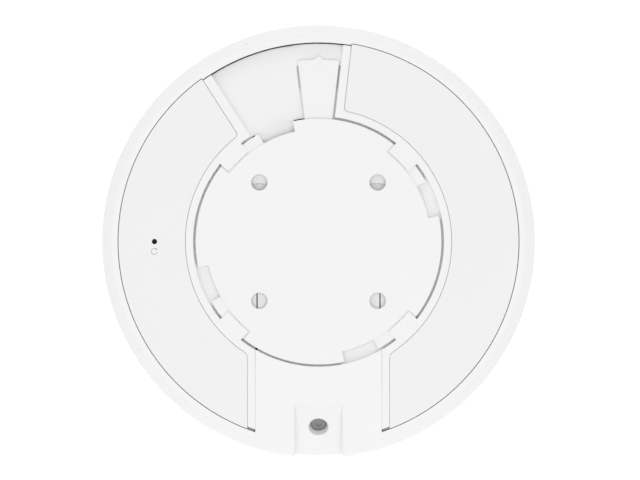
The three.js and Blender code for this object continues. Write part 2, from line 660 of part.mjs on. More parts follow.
// ---- Back panels ----
// A crescent between the rim and the ring rib, from a line beside a spoke down to a straight lower edge.
function backPanel(spoke, left, side) {
  const edgeX = side * (TAIL_RIB_OUTER_X + FREE);
  const turnBack = (radius) => {
    const angle = degrees(Math.acos(Math.abs(edgeX) / radius));
    return side < 0 ? 180 + angle : -angle;
  };
  const corner = (a, b, c) => new THREE.QuadraticBezierCurve(a, b, c).getPoints(4);
  const swing = degrees(PANEL_CORNER / PANEL_INNER_R) * side;
  const topOuter = angleBeside(spoke, left, PANEL_OUTER_R);
  const topInner = angleBeside(spoke, left, PANEL_INNER_R);
  const [lowOuter, lowInner] = [turnBack(PANEL_OUTER_R), turnBack(PANEL_INNER_R)];
  const lowCorner = polar(PANEL_INNER_R, lowInner);
  const topCorner = polar(PANEL_INNER_R, topInner);
  const onLow = new THREE.Vector2(edgeX, lowCorner.y - PANEL_CORNER);
  const onTop = beside(spoke, left, PANEL_INNER_R + PANEL_CORNER);
  const outline = [
    ...arc(PANEL_OUTER_R, topOuter, lowOuter),
    ...corner(onLow, lowCorner, polar(PANEL_INNER_R, lowInner + swing)),
    ...arc(PANEL_INNER_R, lowInner + swing, topInner - swing).slice(1, -1),
    ...corner(polar(PANEL_INNER_R, topInner - swing), topCorner, onTop),
  ];
  let panel = prism(outline, PANEL_UNDER_Z, PANEL_TOP_Z);
  for (const angle of PEG_ANGLES) {
    const peg = polar((PANEL_INNER_R + PANEL_OUTER_R) / 2, side < 0 ? 180 + angle : angle);
    panel = panel.add(disc(PEG_R, DECK_TOP_Z + FREE, PANEL_UNDER_Z + OVER, TINY_SIDES, peg.x, peg.y));
  }
  return panel;
}

function leftBackPanel() {
  const plate = backPanel(BAY_LEFT_ANGLE, BAY_LEFT_RIB + FREE, -1);
  return plate.subtract(disc(PINHOLE_R, DEEP, OVER, SMALL_SIDES, RESET_X, 0));
}

function rightBackPanel() {
  return backPanel(BAY_RIGHT_ANGLE, -BAY_RIGHT_RIB - FREE, 1);
}

// ---- Electronics ----
function screwWays() {
  return join(...POST_PLACES.map(([x, y]) => disc(SCREW_WAY_R, DEEP, 0, TINY_SIDES, x, y)));
}

function mainBoard() {
  return disc(BOARD_R, BOARD_UNDER_Z, BOARD_TOP_Z, BOARD_SIDES).subtract(screwWays());
}

function heatSpreader() {
  let plate = disc(SPREADER_R, SPREADER_UNDER_Z, SPREADER_TOP_Z, BOARD_SIDES);
  for (const [x, y] of POST_PLACES) {
    plate = plate.add(disc(POST_R, SPREADER_TOP_Z - OVER, BOARD_UNDER_Z - FREE, TINY_SIDES, x, y));
  }
  return plate.subtract(screwWays()).subtract(disc(LIGHT_R + LIGHT_WAY, DEEP, 0, SMALL_SIDES));
}

function around(x, y, width, length) {
  return [[x - width / 2, x + width / 2], [y - length / 2, y + length / 2]];
}

function shieldCan([x, y, width, length]) {
  const outer = block(...around(x, y, width, length), [CAN_UNDER_Z, CAN_TOP_Z]);
  const inner = around(x, y, width - 2 * CAN_WALL, length - 2 * CAN_WALL);
  return outer.subtract(block(...inner, [CAN_UNDER_Z + CAN_WALL, CAN_TOP_Z + OVER]));
}

function thermalPad([x, y, width, length]) {
  const sides = around(x, y, width - 2 * PAD_INSET, length - 2 * PAD_INSET);
  return block(...sides, [PAD_UNDER_Z, CAN_UNDER_Z - FREE]);
}

const JACK_MIDDLE = (JACK_X[0] + JACK_X[1]) / 2;

function jackHollow(halfWidth, levels) {
  const widths = [JACK_MIDDLE - halfWidth, JACK_MIDDLE + halfWidth];
  return block(widths, [SOCKET_BACK_Y, JACK_Y[1] + OVER], levels);
}

function ethernetJack() {
  return block(JACK_X, JACK_Y, JACK_Z)
    .subtract(jackHollow(SOCKET_HALF_WIDTH, SOCKET_Z))
    .subtract(jackHollow(LATCH_WAY_HALF_WIDTH, [LATCH_WAY_UNDER_Z, SOCKET_Z[0] + FREE]));
}

// Eight sprung wires that slant down into the socket from a bar at its back.
function jackContacts() {
  const bar = around(JACK_MIDDLE, CONTACT_BAR_Y, CONTACT_BAR_WIDTH, CONTACT_BAR);
  let comb = block(...bar, CONTACT_BAR_Z);
  for (let i = 0; i < CONTACTS; i += 1) {
    const x = JACK_MIDDLE + (i - (CONTACTS - 1) / 2) * CONTACT_PITCH;
    comb = comb.add(sidePrism(CONTACT_PROFILE, x - CONTACT_WIDTH / 2, x + CONTACT_WIDTH / 2));
  }
  return comb;
}

function resetSwitch() {
  return block(...around(RESET_X, 0, SWITCH, SWITCH), [BOARD_PARTS_Z, SWITCH_TOP_Z]);
}

function resetPlunger() {
  const [low, high] = PLUNGER_Z;
  const [collarLow, collarHigh] = PLUNGER_COLLAR_Z;
  const profile = [
    [0, low],
    [PLUNGER_R, low],
    [PLUNGER_R, collarLow],
    [PLUNGER_COLLAR_R, collarLow],
    [PLUNGER_COLLAR_R, collarHigh],
    [PLUNGER_R, collarHigh],
    [PLUNGER_R, high],
    [0, high],
  ];
  return turned(profile, TINY_SIDES, RESET_X, 0);
}

function statusLed() {
  return block([-LED, LED], [-LED, LED], [LED_UNDER_Z, BOARD_UNDER_Z - FREE]);
}

function statusLightPipe() {
  const [collarLow, collarHigh] = LIGHT_COLLAR_Z;
  const profile = [
    [0, -HEIGHT],
    [LIGHT_R - LIGHT_ROUND, -HEIGHT + LIGHT_CROWN],
    [LIGHT_R, -HEIGHT + LIGHT_ROUND],
    [LIGHT_R, collarLow],
    [LIGHT_COLLAR_R, collarLow],
    [LIGHT_COLLAR_R, collarHigh],
    [LIGHT_R, collarHigh],
    [LIGHT_INNER_R, LIGHT_TOP_Z],
    [0, LIGHT_TOP_Z],
  ];
  return turned(profile, SMALL_SIDES);
}

function antenna() {
  return join(block(...ANTENNA_FOOT), block(...ANTENNA_UPRIGHT), block(...ANTENNA_ROOF));
}

function antennaCable() {
  const path = new THREE.CatmullRomCurve3(CABLE_ROUTE.map(([r, z]) => new THREE.Vector3(r, 0, z)));
  const options = { extrudePath: path, steps: CABLE_STEPS, bevelEnabled: false };
  return solid(new THREE.ExtrudeGeometry(new THREE.Shape(circle(CABLE_R, HEX)), options));
}

function chassisScrew([x, y]) {
  const top = SPREADER_UNDER_Z - FREE;
  const profile = [
    [0, top - SCREW_HEAD],
    [SCREW_HEAD_EDGE_R, top - SCREW_HEAD],
    [SCREW_HEAD_R, top - SCREW_HEAD_EDGE],
    [SCREW_HEAD_R, top],
    [SCREW_R, top],
    [SCREW_R, SCREW_END_Z],
    [0, SCREW_END_Z],
  ];
  const drive = disc(SCREW_DRIVE_R, top - SCREW_HEAD - OVER, top - SCREW_DRIVE, HEX, x, y);
  return turned(profile, TINY_SIDES, x, y).subtract(drive);
}

function capacitor([x, y]) {
  return disc(CAPACITOR_R, BOARD_PARTS_Z, CAPACITOR_TOP_Z, SMALL_SIDES, x, y);
}

// ---- Assembly ----
const accessPoint = new THREE.Group();

accessPoint.add(
  node("mount_bracket", mountBracket(), "whiteInner"),
  node("latch_tongue", latchTongue(), "whiteInner"),
  node("rear_ring", rearRing(), "whiteShell"),
  node("front_dome", frontDome(), "whiteShell"),
  node("rear_chassis", rearChassis(), "whiteInner"),
  node("plug_well", plugWell(), "whiteInner"),
  node("left_back_panel", leftBackPanel(), "whiteShell"),
  node("right_back_panel", rightBackPanel(), "whiteShell"),
  node("lock_screw", lockScrew(), "darkSteel"),
  node("main_board", mainBoard(), "board"),
  node("heat_spreader", heatSpreader(), "aluminium"),
  node("ethernet_jack", ethernetJack(), "steel"),
  node("jack_contacts", jackContacts(), "brass"),
  node("reset_switch", resetSwitch(), "blackPlastic"),
  node("reset_plunger", resetPlunger(), "blackPlastic"),
  node("status_led", statusLed(), "clearLens"),
  node("status_light_pipe", statusLightPipe(), "clearLens"),
  node("network_transformer", block(...TRANSFORMER), "blackPlastic"),
  node("power_inductor", block(...INDUCTOR), "blackPlastic"),
);
for (const [name, place] of Object.entries(CANS)) {
  accessPoint.add(node(`shield_can_${name}`, shieldCan(place), "steel"));
  accessPoint.add(node(`thermal_pad_${name}`, thermalPad(place), "greyPad"));
}
ANTENNA_ANGLES.forEach((angle, i) => {
  const placed = new THREE.Group();
  placed.rotation.z = radians(angle);
  placed.add(node(`antenna_${i + 1}`, antenna(), "steel"));
  placed.add(node(`antenna_cable_${i + 1}`, antennaCable(), "blackPlastic"));
  accessPoint.add(placed);
});
POST_PLACES.forEach((place, i) => {
  accessPoint.add(node(`chassis_screw_${i + 1}`, chassisScrew(place), "steel"));
});
CAPACITOR_PLACES.forEach((place, i) => {
  accessPoint.add(node(`capacitor_${i + 1}`, capacitor(place), "aluminium"));
});

export default accessPoint;
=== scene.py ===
"""Ceiling access point on its twist-lock bracket, seen from the ceiling side.

Lengths in this file are in millimetres and angles in degrees anticlockwise from +X, except
where a docstring says otherwise. The mesh helpers turn them into metres. +Z points at the ceiling.
"""

import math

import bpy
import bmesh
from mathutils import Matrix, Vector
from mathutils.geometry import tessellate_polygon

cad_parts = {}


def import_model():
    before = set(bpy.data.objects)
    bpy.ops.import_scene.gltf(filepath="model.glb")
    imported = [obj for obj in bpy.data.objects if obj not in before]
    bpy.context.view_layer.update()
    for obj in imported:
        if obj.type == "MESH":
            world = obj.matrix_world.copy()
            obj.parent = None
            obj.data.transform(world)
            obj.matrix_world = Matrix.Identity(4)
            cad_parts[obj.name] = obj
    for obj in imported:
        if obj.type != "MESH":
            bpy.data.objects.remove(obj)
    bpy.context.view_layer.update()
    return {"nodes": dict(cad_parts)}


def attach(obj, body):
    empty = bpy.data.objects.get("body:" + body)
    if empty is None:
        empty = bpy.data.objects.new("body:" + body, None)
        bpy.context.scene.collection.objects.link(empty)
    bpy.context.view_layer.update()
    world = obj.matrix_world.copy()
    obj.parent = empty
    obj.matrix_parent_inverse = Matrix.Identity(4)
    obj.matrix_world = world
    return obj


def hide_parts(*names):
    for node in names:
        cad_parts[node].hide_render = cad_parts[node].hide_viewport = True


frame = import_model()

MM = 0.001

# ---- Driving dimensions ----
OUTER_R = 110
HEIGHT = 48
PARTING_Z = -9.2
RIM_TOP_Z = -0.8
RIM_INNER_R = 101.85
RIM_BAY_R = 101  # across the cable bay and the tongue
RIM_FLAT_R = 103.8
RIM_BEND = ((0.03, 1), (0.21, 1), (0.387, 0.894))  # shares of the bevel's width and height
RIM_SIDE = ((0.742, 0.682), (1, 0.527), (1, 0))
TAIL_RIM_R = 102.2
DOME_FULLNESS = 0.8
SHELL = 2.4
LIP_R = (105.1, 106.8)  # the lip that reaches down inside the dome
LIP_DEPTH = 3
DOME_HOLE_R = 3.1
DOME_NOTCH_X = 14.4
BRACKET_R = 62.35
BRACKET_DEPTH = 4.6
DISC_UNDER_Z = -2.4
TRACK_R = 57
TRACK_Z = -1.6
HOLE_AT = 30
HOLE_R = 4.1
COLLAR = 2
COLLAR_Z = (-3.2, -2.3)
LUGS = (45, 135, 225, 315)
CABLE_LUG = 135  # the cable goes in under the notch beside this lug
UNLOCK = 24.3  # how far the case turns from its notches until it's locked
NOTCH_HALF = 8.5  # degrees, like the next one
TRACK_END = 7.6
TONGUE_HALF = 6.55
TONGUE_R = 92.4
TONGUE_Z = (-4.4, -2.6)
ARROW_HALF = (2.3, 0.35)  # at its root and at its tip
ARROW_R = 94.2
CHASSIS_R = 100.5
RIB_TOP_Z = -0.6
RIB_END_Z = -4.8
RING_R = (63.55, 67.45)
DECK_Z = (-7.8, -5.6)
LUG_CHORD_R = 57.5
LUG_HALF = 7.4
LUG_UNDER_Z = -1.45
BAY_LEFT = 122.8
BAY_LEFT_RIB = 4.92
BAY_RIGHT = 90 - TONGUE_HALF
BAY_RIGHT_GAP = 1.05
BAY_RIGHT_RIB = 5.2
TAIL_RIB_X = (32.15, 35.98)
SLOT_R = 78.6
SLOT_GAP = 0.9
SLOT_FLOOR_Z = -6.8
POCKET_R = 90
POCKET_Z = -4.9
NOTCH_FLOOR_Z = -4.95
RAMP_R = 66
RAMP_WIDTH = 9
RAMP_RISE = 0.6
POST_AT = 55
POST_R = (1.65, 4)
POST_END_Z = -21.3
SEAT_Z = -4.2
SEAT_LOW_Z = -5.3
SEAT_X = (30.92, 31.5)
SEAT_Y = (29.2, 29.4)
SEAT_HALF = 7
WELL_X = (-20, 6)
WELL_Y = (31.4, 48)
WELL_WALL = 1.4
WELL_FLOOR_Z = -19.3
WELL_BACK_Z = -9.5
WELL_FREE = 0.3
JACK_WINDOW_X = (-16.3, 0.3)
JACK_WINDOW_Y = 33.6
SHELF_X = (-31, 6)
SHELF_Y = (49.7, 61)
SHELF_LOW_Z = -9.2
SHELF_RISE = 3
SHELF_TURN_X = (-27, -16)  # between these the slope's foot rises
PANEL_Z = (-2.9, -0.7)
PANEL_GAP = 0.16
PANEL_RIM_GAP = 0.33
PANEL_TAIL_GAP = 0.1
PANEL_CORNER = 2
PEG_ANGLES = (-18, 12, 42)
PEG_R = 2
PEG_END_Z = -5.3
TAIL_X = 32.08
TAIL_INNER_X = 31
TAIL_END_Y = 29.4
TAIL_BEND_R = 63.35
TAIL_UNDER_Z = -1.4
TAIL_CHEEK_Y = (-94, -55.5)
TAIL_FREE = 0.65
CHANNEL_X = 11.9
CHANNEL_R = 81.6
CHANNEL_SLOPE = 28.5
CHANNEL_END_R = 109.2
CHANNEL_THICK = 2.2
WALL_OUT_X = 14.1
FILLET = 1.6
FILLET_END_R = 108.6
MOUTH_R = (102.8, 107.2)  # where the channel's edge starts and ends opening out
MOUTH_ROUND = (1, 1.85)
LOCK_R = 94.3
LOCK_MOUTH_R = 5.3
LOCK_BORE_R = 4.3
LOCK_DEPTH = 4.2
SCREW_TOP = -3.45
SCREW_END = -9.3
RESET_X = -83.2
PINHOLE_R = 1.34
RESET_TUBE_R = (2, 3.4)
MARK_Y = -5
MARK_R = (1.35, 1.75)
RIM_DOTS = ((90.1, 109.45, -5.25, 70), (110.1, 106.65, -2.06, 39))  # angle, radius, level and tilt
PIPE_FLANGE_Z = (-45, -44)
PIPE_TOP_Z = -25.6
SHARP_ANGLE = 32  # edges that turn more than this are drawn sharp
SWEEP_R = 6000
SWEEP_TOP_Z = 800
VIEW_WIDTH = 324.424  # what the picture spans across, at the ceiling's level
CAMERA_AT = (0.745, 0.786, 2600)
SENSOR = 36


# ---- Plane geometry ----
def polar(radius, angle):
    return (radius * math.cos(math.radians(angle)), radius * math.sin(math.radians(angle)))


def arc(radius, start, end, step=1.5):
    count = max(2, math.ceil(abs(end - start) / step))
    return [polar(radius, start + (end - start) * i / count) for i in range(count + 1)]


def circle(radius, x, y, sides=64):
    return [(x + radius * math.cos(math.tau * i / sides), y + radius * math.sin(math.tau * i / sides))
            for i in range(sides)]


def beside(angle, left, radius):
    """The point at a radius on the line that runs a distance to the left of a spoke."""
    along = math.sqrt(radius * radius - left * left)
    x, y = polar(along, angle)
    dx, dy = polar(left, angle + 90)
    return (x + dx, y + dy)


def angle_beside(angle, left, radius):
    return angle + math.degrees(math.asin(left / radius))


def box_loop(x0, x1, y0, y1):
    return [(x0, y0), (x1, y0), (x1, y1), (x0, y1)]


def smooth(t):
    """Rises from 0 to 1 and levels out at both ends."""
    t = min(max(t, 0), 1)
    return t * t * (3 - 2 * t)


def soften(points, reach, sharp=30):
    """Rounds the corners of a closed outline, starting a given distance before each. The
    distance can be a function of the corner."""
    bends = 5
    done = []
    count = len(points)
    for i, corner in enumerate(points):
        here = Vector(corner[:2])
        into = here - Vector(points[i - 1][:2])
        out = Vector(points[(i + 1) % count][:2]) - here
        if math.degrees(abs(into.angle_signed(out))) < sharp:
            done.append((corner, None))
            continue
        done.append((corner, reach(corner) if callable(reach) else reach))
    result = []
    for i, (corner, size) in enumerate(done):
        here = Vector(corner[:2])
        if size is None:
            if all(r is None or (here - Vector(c[:2])).length > r for c, r in done):
                result.append(corner)
            continue
        before, after = walk(done, i, -1, size), walk(done, i, 1, size)
        for k in range(bends + 1):
            t = k / bends
            p = before * (1 - t) ** 2 + here * 2 * t * (1 - t) + after * t ** 2
            result.append((p.x, p.y, *corner[2:]))
    return result


def walk(done, i, way, size):
    """The point of an outline about a given distance before or after a corner."""
    here = Vector(done[i][0][:2])
    j = i + way
    while (Vector(done[j % len(done)][0][:2]) - here).length < size and done[j % len(done)][1] is None:
        j += way
    far = Vector(done[j % len(done)][0][:2]) - here
    reach = min(size, far.length * 0.48) if done[j % len(done)][1] else size
    return here + far.normalized() * reach


def area(loop):
    return sum(a[0] * b[1] - b[0] * a[1] for a, b in zip(loop, loop[1:] + loop[:1])) / 2


def wound(loop, positive):
    return loop if (area(loop) > 0) == positive else loop[::-1]


def inset(loop, sizes):
    """A loop moved to its left, by a size for each point."""
    moved = []
    count = len(loop)
    for i, point in enumerate(loop):
        here = Vector(point[:2])
        into = (here - Vector(loop[i - 1][:2])).normalized()
        out = (Vector(loop[(i + 1) % count][:2]) - here).normalized()
        normal = Vector((-into.y - out.y, into.x + out.x))
        if normal.length < 1e-6:
            normal = Vector((-into.y, into.x)) * 2
        normal.normalize()
        stretch = 1 / max(0.45, normal.dot(Vector((-out.y, out.x))))
        moved.append(here + normal * stretch * sizes[i])
    return moved


# ---- Shells: (points, faces), in millimetres ----
def plate(loops, low, high, top=0.3, bottom=0.12, steps=3):
    """A flat solid between two levels with round edges. The first loop is its outline and the
    rest are holes. A third number in a point is the size of the top's rounding there."""
    loops = [wound(list(loop), i == 0) for i, loop in enumerate(loops)]
    turns = [math.pi / 2 * k / steps for k in range(steps + 1)]
    points, faces, caps = [], [], ([], [])
    for loop in loops:
        count = len(loop)
        tops = [p[2] if len(p) > 2 else top for p in loop]
        rows = []
        for t in reversed(turns):
            ring = inset(loop, [bottom * (1 - math.cos(t))] * count)
            rows.append([(p.x, p.y, low + bottom * (1 - math.sin(t))) for p in ring])
        for t in turns:
            ring = inset(loop, [e * (1 - math.cos(t)) for e in tops])
            rows.append([(p.x, p.y, high - e * (1 - math.sin(t))) for p, e in zip(ring, tops)])
        first = len(points)
        for row in rows:
            points += row
        for r in range(len(rows) - 1):
            a, b = first + r * count, first + (r + 1) * count
            faces += [(a + i, a + (i + 1) % count, b + (i + 1) % count, b + i) for i in range(count)]
        caps[0].append((first, rows[0]))
        caps[1].append((first + (len(rows) - 1) * count, rows[-1]))
    for side in (0, 1):
        index = [first + i for first, row in caps[side] for i in range(len(row))]
        flat = tessellate_polygon([[Vector(p) for p in row] for _, row in caps[side]])
        faces += [tuple(index[i] for i in face) for face in flat]
    return points, faces


def lathe(profile, sides, closed=True, y=0):
    """An (r, z) profile turned round an upright axis; a closed one comes back to its start."""
    points = []
    for i in range(sides):
        c, s = math.cos(math.tau * i / sides), math.sin(math.tau * i / sides)
        points += [(r * c, y + r * s, z) for r, z in profile]
    count = len(profile)
    spans = count if closed else count - 1
    faces = []
    for i in range(sides):
        a, b = i * count, ((i + 1) % sides) * count
        faces += [(a + k, b + k, b + (k + 1) % count, a + (k + 1) % count) for k in range(spans)]
    return points, faces


def rows_solid(rows):
    """A solid through rows of points: each row is a closed section, and the ends are capped."""
    count = len(rows[0])
    points = [p for row in rows for p in row]
    faces = []
    for r in range(len(rows) - 1):
        a, b = r * count, (r + 1) * count
        faces += [(a + i, a + (i + 1) % count, b + (i + 1) % count, b + i) for i in range(count)]
    faces += [tuple(range(count)), tuple(range((len(rows) - 1) * count, len(rows) * count))]
    return points, faces


def moved(shell, place):
    points, faces = shell
    return [place(*p) for p in points], faces


def side_plate(profile, x0, x1, top=0.1, bottom=0.1):
    """A (y, z) outline pushed along X, with round edges."""
    return moved(plate([profile], x0, x1, top, bottom), lambda y, z, x: (x, y, z))


# ---- Objects ----
def build(name, shells, material, body, replaced=()):
    """One piece made of shells, which rides on a body and stands in for the named CAD nodes."""
    mesh = bpy.data.meshes.new(name)
    points, faces = [], []
    for shell_points, shell_faces in shells:
        first = len(points)
        points += [tuple(c * MM for c in p) for p in shell_points]
        faces += [tuple(first + i for i in face) for face in shell_faces]
    mesh.from_pydata(points, [], faces)
    work = bmesh.new()
    work.from_mesh(mesh)
    bmesh.ops.remove_doubles(work, verts=work.verts, dist=1e-7)
    bmesh.ops.recalc_face_normals(work, faces=work.faces)
    work.to_mesh(mesh)
    work.free()
    mesh.shade_smooth()
    mesh.set_sharp_from_angle(angle=math.radians(SHARP_ANGLE))
    thing = bpy.data.objects.new(name, mesh)
    bpy.context.scene.collection.objects.link(thing)
    mesh.materials.append(material)
    weighted = thing.modifiers.new("flat_faces", "WEIGHTED_NORMAL")
    weighted.keep_sharp = True
    weighted.weight = 80
    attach(thing, body)
    if replaced:
        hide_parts(*replaced)
    return thing


# ---- Materials ----
def node_tree(name):
    material = bpy.data.materials.new(name)
    material.use_nodes = True
    return material, material.node_tree.nodes, material.node_tree.links


def plastic(name, color, roughness, grain=0.006, grain_scale=2600, mottle=0.006):
    """Moulded plastic: fine spark-eroded grain, slight gloss and tone variation."""
    material, nodes, links = node_tree(name)
    shader = nodes["Principled BSDF"]
    shader.inputs["Specular IOR Level"].default_value = 0.35
    where = nodes.new("ShaderNodeTexCoord")
    fine = nodes.new("ShaderNodeTexNoise")
    fine.inputs["Scale"].default_value = grain_scale
    fine.inputs["Detail"].default_value = 3
    links.new(where.outputs["Object"], fine.inputs["Vector"])
    bump = nodes.new("ShaderNodeBump")
    bump.inputs["Strength"].default_value = 0.5
    bump.inputs["Distance"].default_value = grain * MM
    links.new(fine.outputs["Fac"], bump.inputs["Height"])
    links.new(bump.outputs["Normal"], shader.inputs["Normal"])
    broad = nodes.new("ShaderNodeTexNoise")
    broad.inputs["Scale"].default_value = 28
    broad.inputs["Detail"].default_value = 2
    links.new(where.outputs["Object"], broad.inputs["Vector"])
    tone = nodes.new("ShaderNodeValToRGB")
    tone.color_ramp.elements[0].position = 0.3
    tone.color_ramp.elements[1].position = 0.7
    tone.color_ramp.elements[0].color = (*[c * (1 - mottle) for c in color], 1)
    tone.color_ramp.elements[1].color = (*color, 1)
    links.new(broad.outputs["Fac"], tone.inputs["Fac"])
    links.new(tone.outputs["Color"], shader.inputs["Base Color"])
    gloss = nodes.new("ShaderNodeMapRange")
    gloss.inputs["To Min"].default_value = roughness - 0.04
    gloss.inputs["To Max"].default_value = roughness + 0.04
    links.new(fine.outputs["Fac"], gloss.inputs["Value"])
    links.new(gloss.outputs["Result"], shader.inputs["Roughness"])
    return material


def metal(name, color, roughness, stretch=(1, 1, 1)):
    """Rolled or plated metal with fine directional streaks."""
    material, nodes, links = node_tree(name)
    shader = nodes["Principled BSDF"]
    shader.inputs["Metallic"].default_value = 1
    where = nodes.new("ShaderNodeTexCoord")
    place = nodes.new("ShaderNodeMapping")
    place.inputs["Scale"].default_value = stretch
    streaks = nodes.new("ShaderNodeTexNoise")
    streaks.inputs["Scale"].default_value = 900
    streaks.inputs["Detail"].default_value = 4
    links.new(where.outputs["Object"], place.inputs["Vector"])
    links.new(place.outputs["Vector"], streaks.inputs["Vector"])
    tone = nodes.new("ShaderNodeValToRGB")
    tone.color_ramp.elements[0].color = (*[c * 0.86 for c in color], 1)
    tone.color_ramp.elements[1].color = (*color, 1)
    links.new(streaks.outputs["Fac"], tone.inputs["Fac"])
    links.new(tone.outputs["Color"], shader.inputs["Base Color"])
    gloss = nodes.new("ShaderNodeMapRange")
    gloss.inputs["To Min"].default_value = roughness - 0.07
    gloss.inputs["To Max"].default_value = roughness + 0.07
    links.new(streaks.outputs["Fac"], gloss.inputs["Value"])
    links.new(gloss.outputs["Result"], shader.inputs["Roughness"])
    bump = nodes.new("ShaderNodeBump")
    bump.inputs["Strength"].default_value = 0.3
    bump.inputs["Distance"].default_value = 0.004 * MM
    links.new(streaks.outputs["Fac"], bump.inputs["Height"])
    links.new(bump.outputs["Normal"], shader.inputs["Normal"])
    return material


WHITE = plastic("white_plastic", (0.915, 0.918, 0.922), 0.42)
PANEL_WHITE = plastic("panel_plastic", (0.885, 0.888, 0.893), 0.46)
INNER_WHITE = plastic("inner_plastic", (0.91, 0.913, 0.916), 0.5)
BLACK = plastic("black_plastic", (0.012, 0.012, 0.013), 0.5, mottle=0.2)
BOARD = plastic("solder_mask", (0.012, 0.102, 0.037), 0.38, grain=0.02, grain_scale=700, mottle=0.3)
PAD = plastic("thermal_pad", (0.266, 0.292, 0.319), 0.85, mottle=0.1)
STEEL = metal("tinned_steel", (0.55, 0.56, 0.58), 0.34, (1, 12, 1))
ALUMINIUM = metal("aluminium_sheet", (0.72, 0.73, 0.75), 0.38, (12, 1, 1))
DARK_STEEL = metal("grey_steel", (0.3, 0.3, 0.31), 0.5)
PRINT = plastic("pad_print", (0.5, 0.51, 0.52), 0.6)
GOLD = metal("gold_contact", (0.83, 0.6, 0.26), 0.28, (1, 8, 1))


def lens_material():
    material = plastic("light_pipe", (0.86, 0.9, 0.94), 0.2, grain=0.001)
    shader = material.node_tree.nodes["Principled BSDF"]
    shader.inputs["Transmission Weight"].default_value = 0.55
    shader.inputs["IOR"].default_value = 1.49
    return material


LENS = lens_material()
FAINT_PRINT = plastic("faint_print", (0.76, 0.765, 0.77), 0.6)


# ---- Case ----
def bend(a, b, c, steps):
    """A quadratic curve from a to c that sets out towards b."""
    shares = [i / steps for i in range(steps + 1)]
    return [tuple(p * (1 - t) ** 2 + q * 2 * t * (1 - t) + r * t * t for p, q, r in zip(a, b, c))
            for t in shares]


def rim_curve(radius, top, flat, steps):
    """The rim's section: flat top, rounded bend, straight bevel and upright side."""
    curve = [(0, 1), *bend(*RIM_BEND, steps), *bend(*RIM_SIDE, steps)]
    return [(flat + (radius - flat) * u, PARTING_Z + (top - PARTING_Z) * v) for u, v in curve]


def dome_curve(radius, depth, hole, steps):
    """The dome's section, from the case's widest level down to the hole at its foot."""
    last = math.acos((hole / radius) ** (1 / DOME_FULLNESS))
    turns = [last * i / steps for i in range(steps + 1)]
    return [(radius * math.cos(t) ** DOME_FULLNESS, PARTING_Z - depth * math.sin(t)) for t in turns]


def rim_profile(start, rounding):
    """The closed section of the rim, from its inner edge over the top to the lip and back."""
    outside = rim_curve(OUTER_R, RIM_TOP_Z, RIM_FLAT_R, 6)
    inside = rim_curve(OUTER_R - SHELL, RIM_TOP_Z - SHELL, RIM_FLAT_R, 4)
    inside = [(r, z) for r, z in inside if z > PARTING_Z + LIP_DEPTH]
    lip_in, lip_out = LIP_R
    foot = PARTING_Z - LIP_DEPTH
    lip = [(lip_out, PARTING_Z), (lip_out, foot), (lip_in, foot), (lip_in, PARTING_Z + 1)]
    edge = [(start + rounding * (1 - math.cos(t)), RIM_TOP_Z - rounding * (1 - math.sin(t)))
            for t in (0, math.pi / 6, math.pi / 3, math.pi / 2)]
    return [(start, RIM_TOP_Z - SHELL), *edge, *outside, *lip, *inside[:0:-1]]


def rim_row(profile, x_of, side):
    """The rim's section beside the tail, with each point at an x of its own."""
    row = []
    for r, z in profile:
        x = x_of(r, z)
        row.append((side * x, -math.sqrt(max(r * r - x * x, 0)), z))
    return row


def main_rim():
    """The rim all round but for the tail. It reaches further in across the bay and the tongue."""
    middle = (RIM_BAY_R + RIM_INNER_R) / 2
    steps = [angle_beside(BAY_RIGHT, -BAY_RIGHT_RIB, middle), angle_beside(BAY_LEFT, BAY_LEFT_RIB, middle)]
    wide, narrow = rim_profile(RIM_INNER_R, 0.3), rim_profile(RIM_BAY_R, 0.3)
    rows = []

    def add(share, profile):
        row = []
        for r, z in profile:
            half = math.degrees(math.asin(TAIL_X / r))
            row.append((*polar(r, -90 + half + (360 - 2 * half) * share), z))
        rows.append(row)

    half = math.degrees(math.asin(TAIL_X / middle))
    cuts = [(a + 90 - half) / (360 - 2 * half) for a in steps]
    spans = [(0, cuts[0], wide, 140), (cuts[0], cuts[1], narrow, 40), (cuts[1], 1, wide, 120)]
    for start, end, profile, count in spans:
        for i in range(count + 1):
            add(start + (end - start) * i / count, profile)
    return rows_solid(rows)


def mouth_rounding(r, z):
    """How round the channel's edge is: it opens out at the case's side, and the shell's hidden
    inner side has next to none."""
    if z < PARTING_Z - 0.01 or z < RIM_TOP_Z - SHELL + 0.01 and r < OUTER_R - 2:
        return 0.05
    start, end = MOUTH_R
    least, most = MOUTH_ROUND
    return least + (most - least) * smooth((r - start) / (end - start))


def tail_rim(side):
    """The rim beside the channel, with its rounded edge down into it."""
    profile = rim_profile(TAIL_RIM_R, 0.04)
    count = len(profile)
    normals = []
    for i, (r, z) in enumerate(profile):
        r0, z0 = profile[i - 1]
        r1, z1 = profile[(i + 1) % count]
        normals.append(Vector((z1 - z0, r0 - r1)).normalized())
    # The inner edge rounds straight down, and the corner at the case's side straight in.
    inner_edge = sum(1 for r, z in profile if r < TAIL_RIM_R + 0.1)
    normals[:inner_edge] = [Vector((0, 0)), *[Vector((0, -1))] * (inner_edge - 1)]
    normals[profile.index(max(profile))] = Vector((-1, 0))
    rows = []
    spans, bends = 14, 5
    for j in range(spans + 1):
        t = j / spans
        rows.append(rim_row(profile, lambda r, z: TAIL_X + (CHANNEL_X + mouth_rounding(r, z) - TAIL_X) * t,
                            side))
    for k in range(1, bends + 1):
        t = math.pi / 2 * k / bends
        row = []
        for (r, z), n in zip(profile, normals):
            e = mouth_rounding(r, z)
            x = CHANNEL_X + e * (1 - math.sin(t))
            deep = e * (1 - math.cos(t))
            r2, z2 = r + n.x * deep, z + n.y * deep
            row.append((side * x, -math.sqrt(r2 * r2 - x * x), z2))
        rows.append(row)
    return rows_solid(rows)


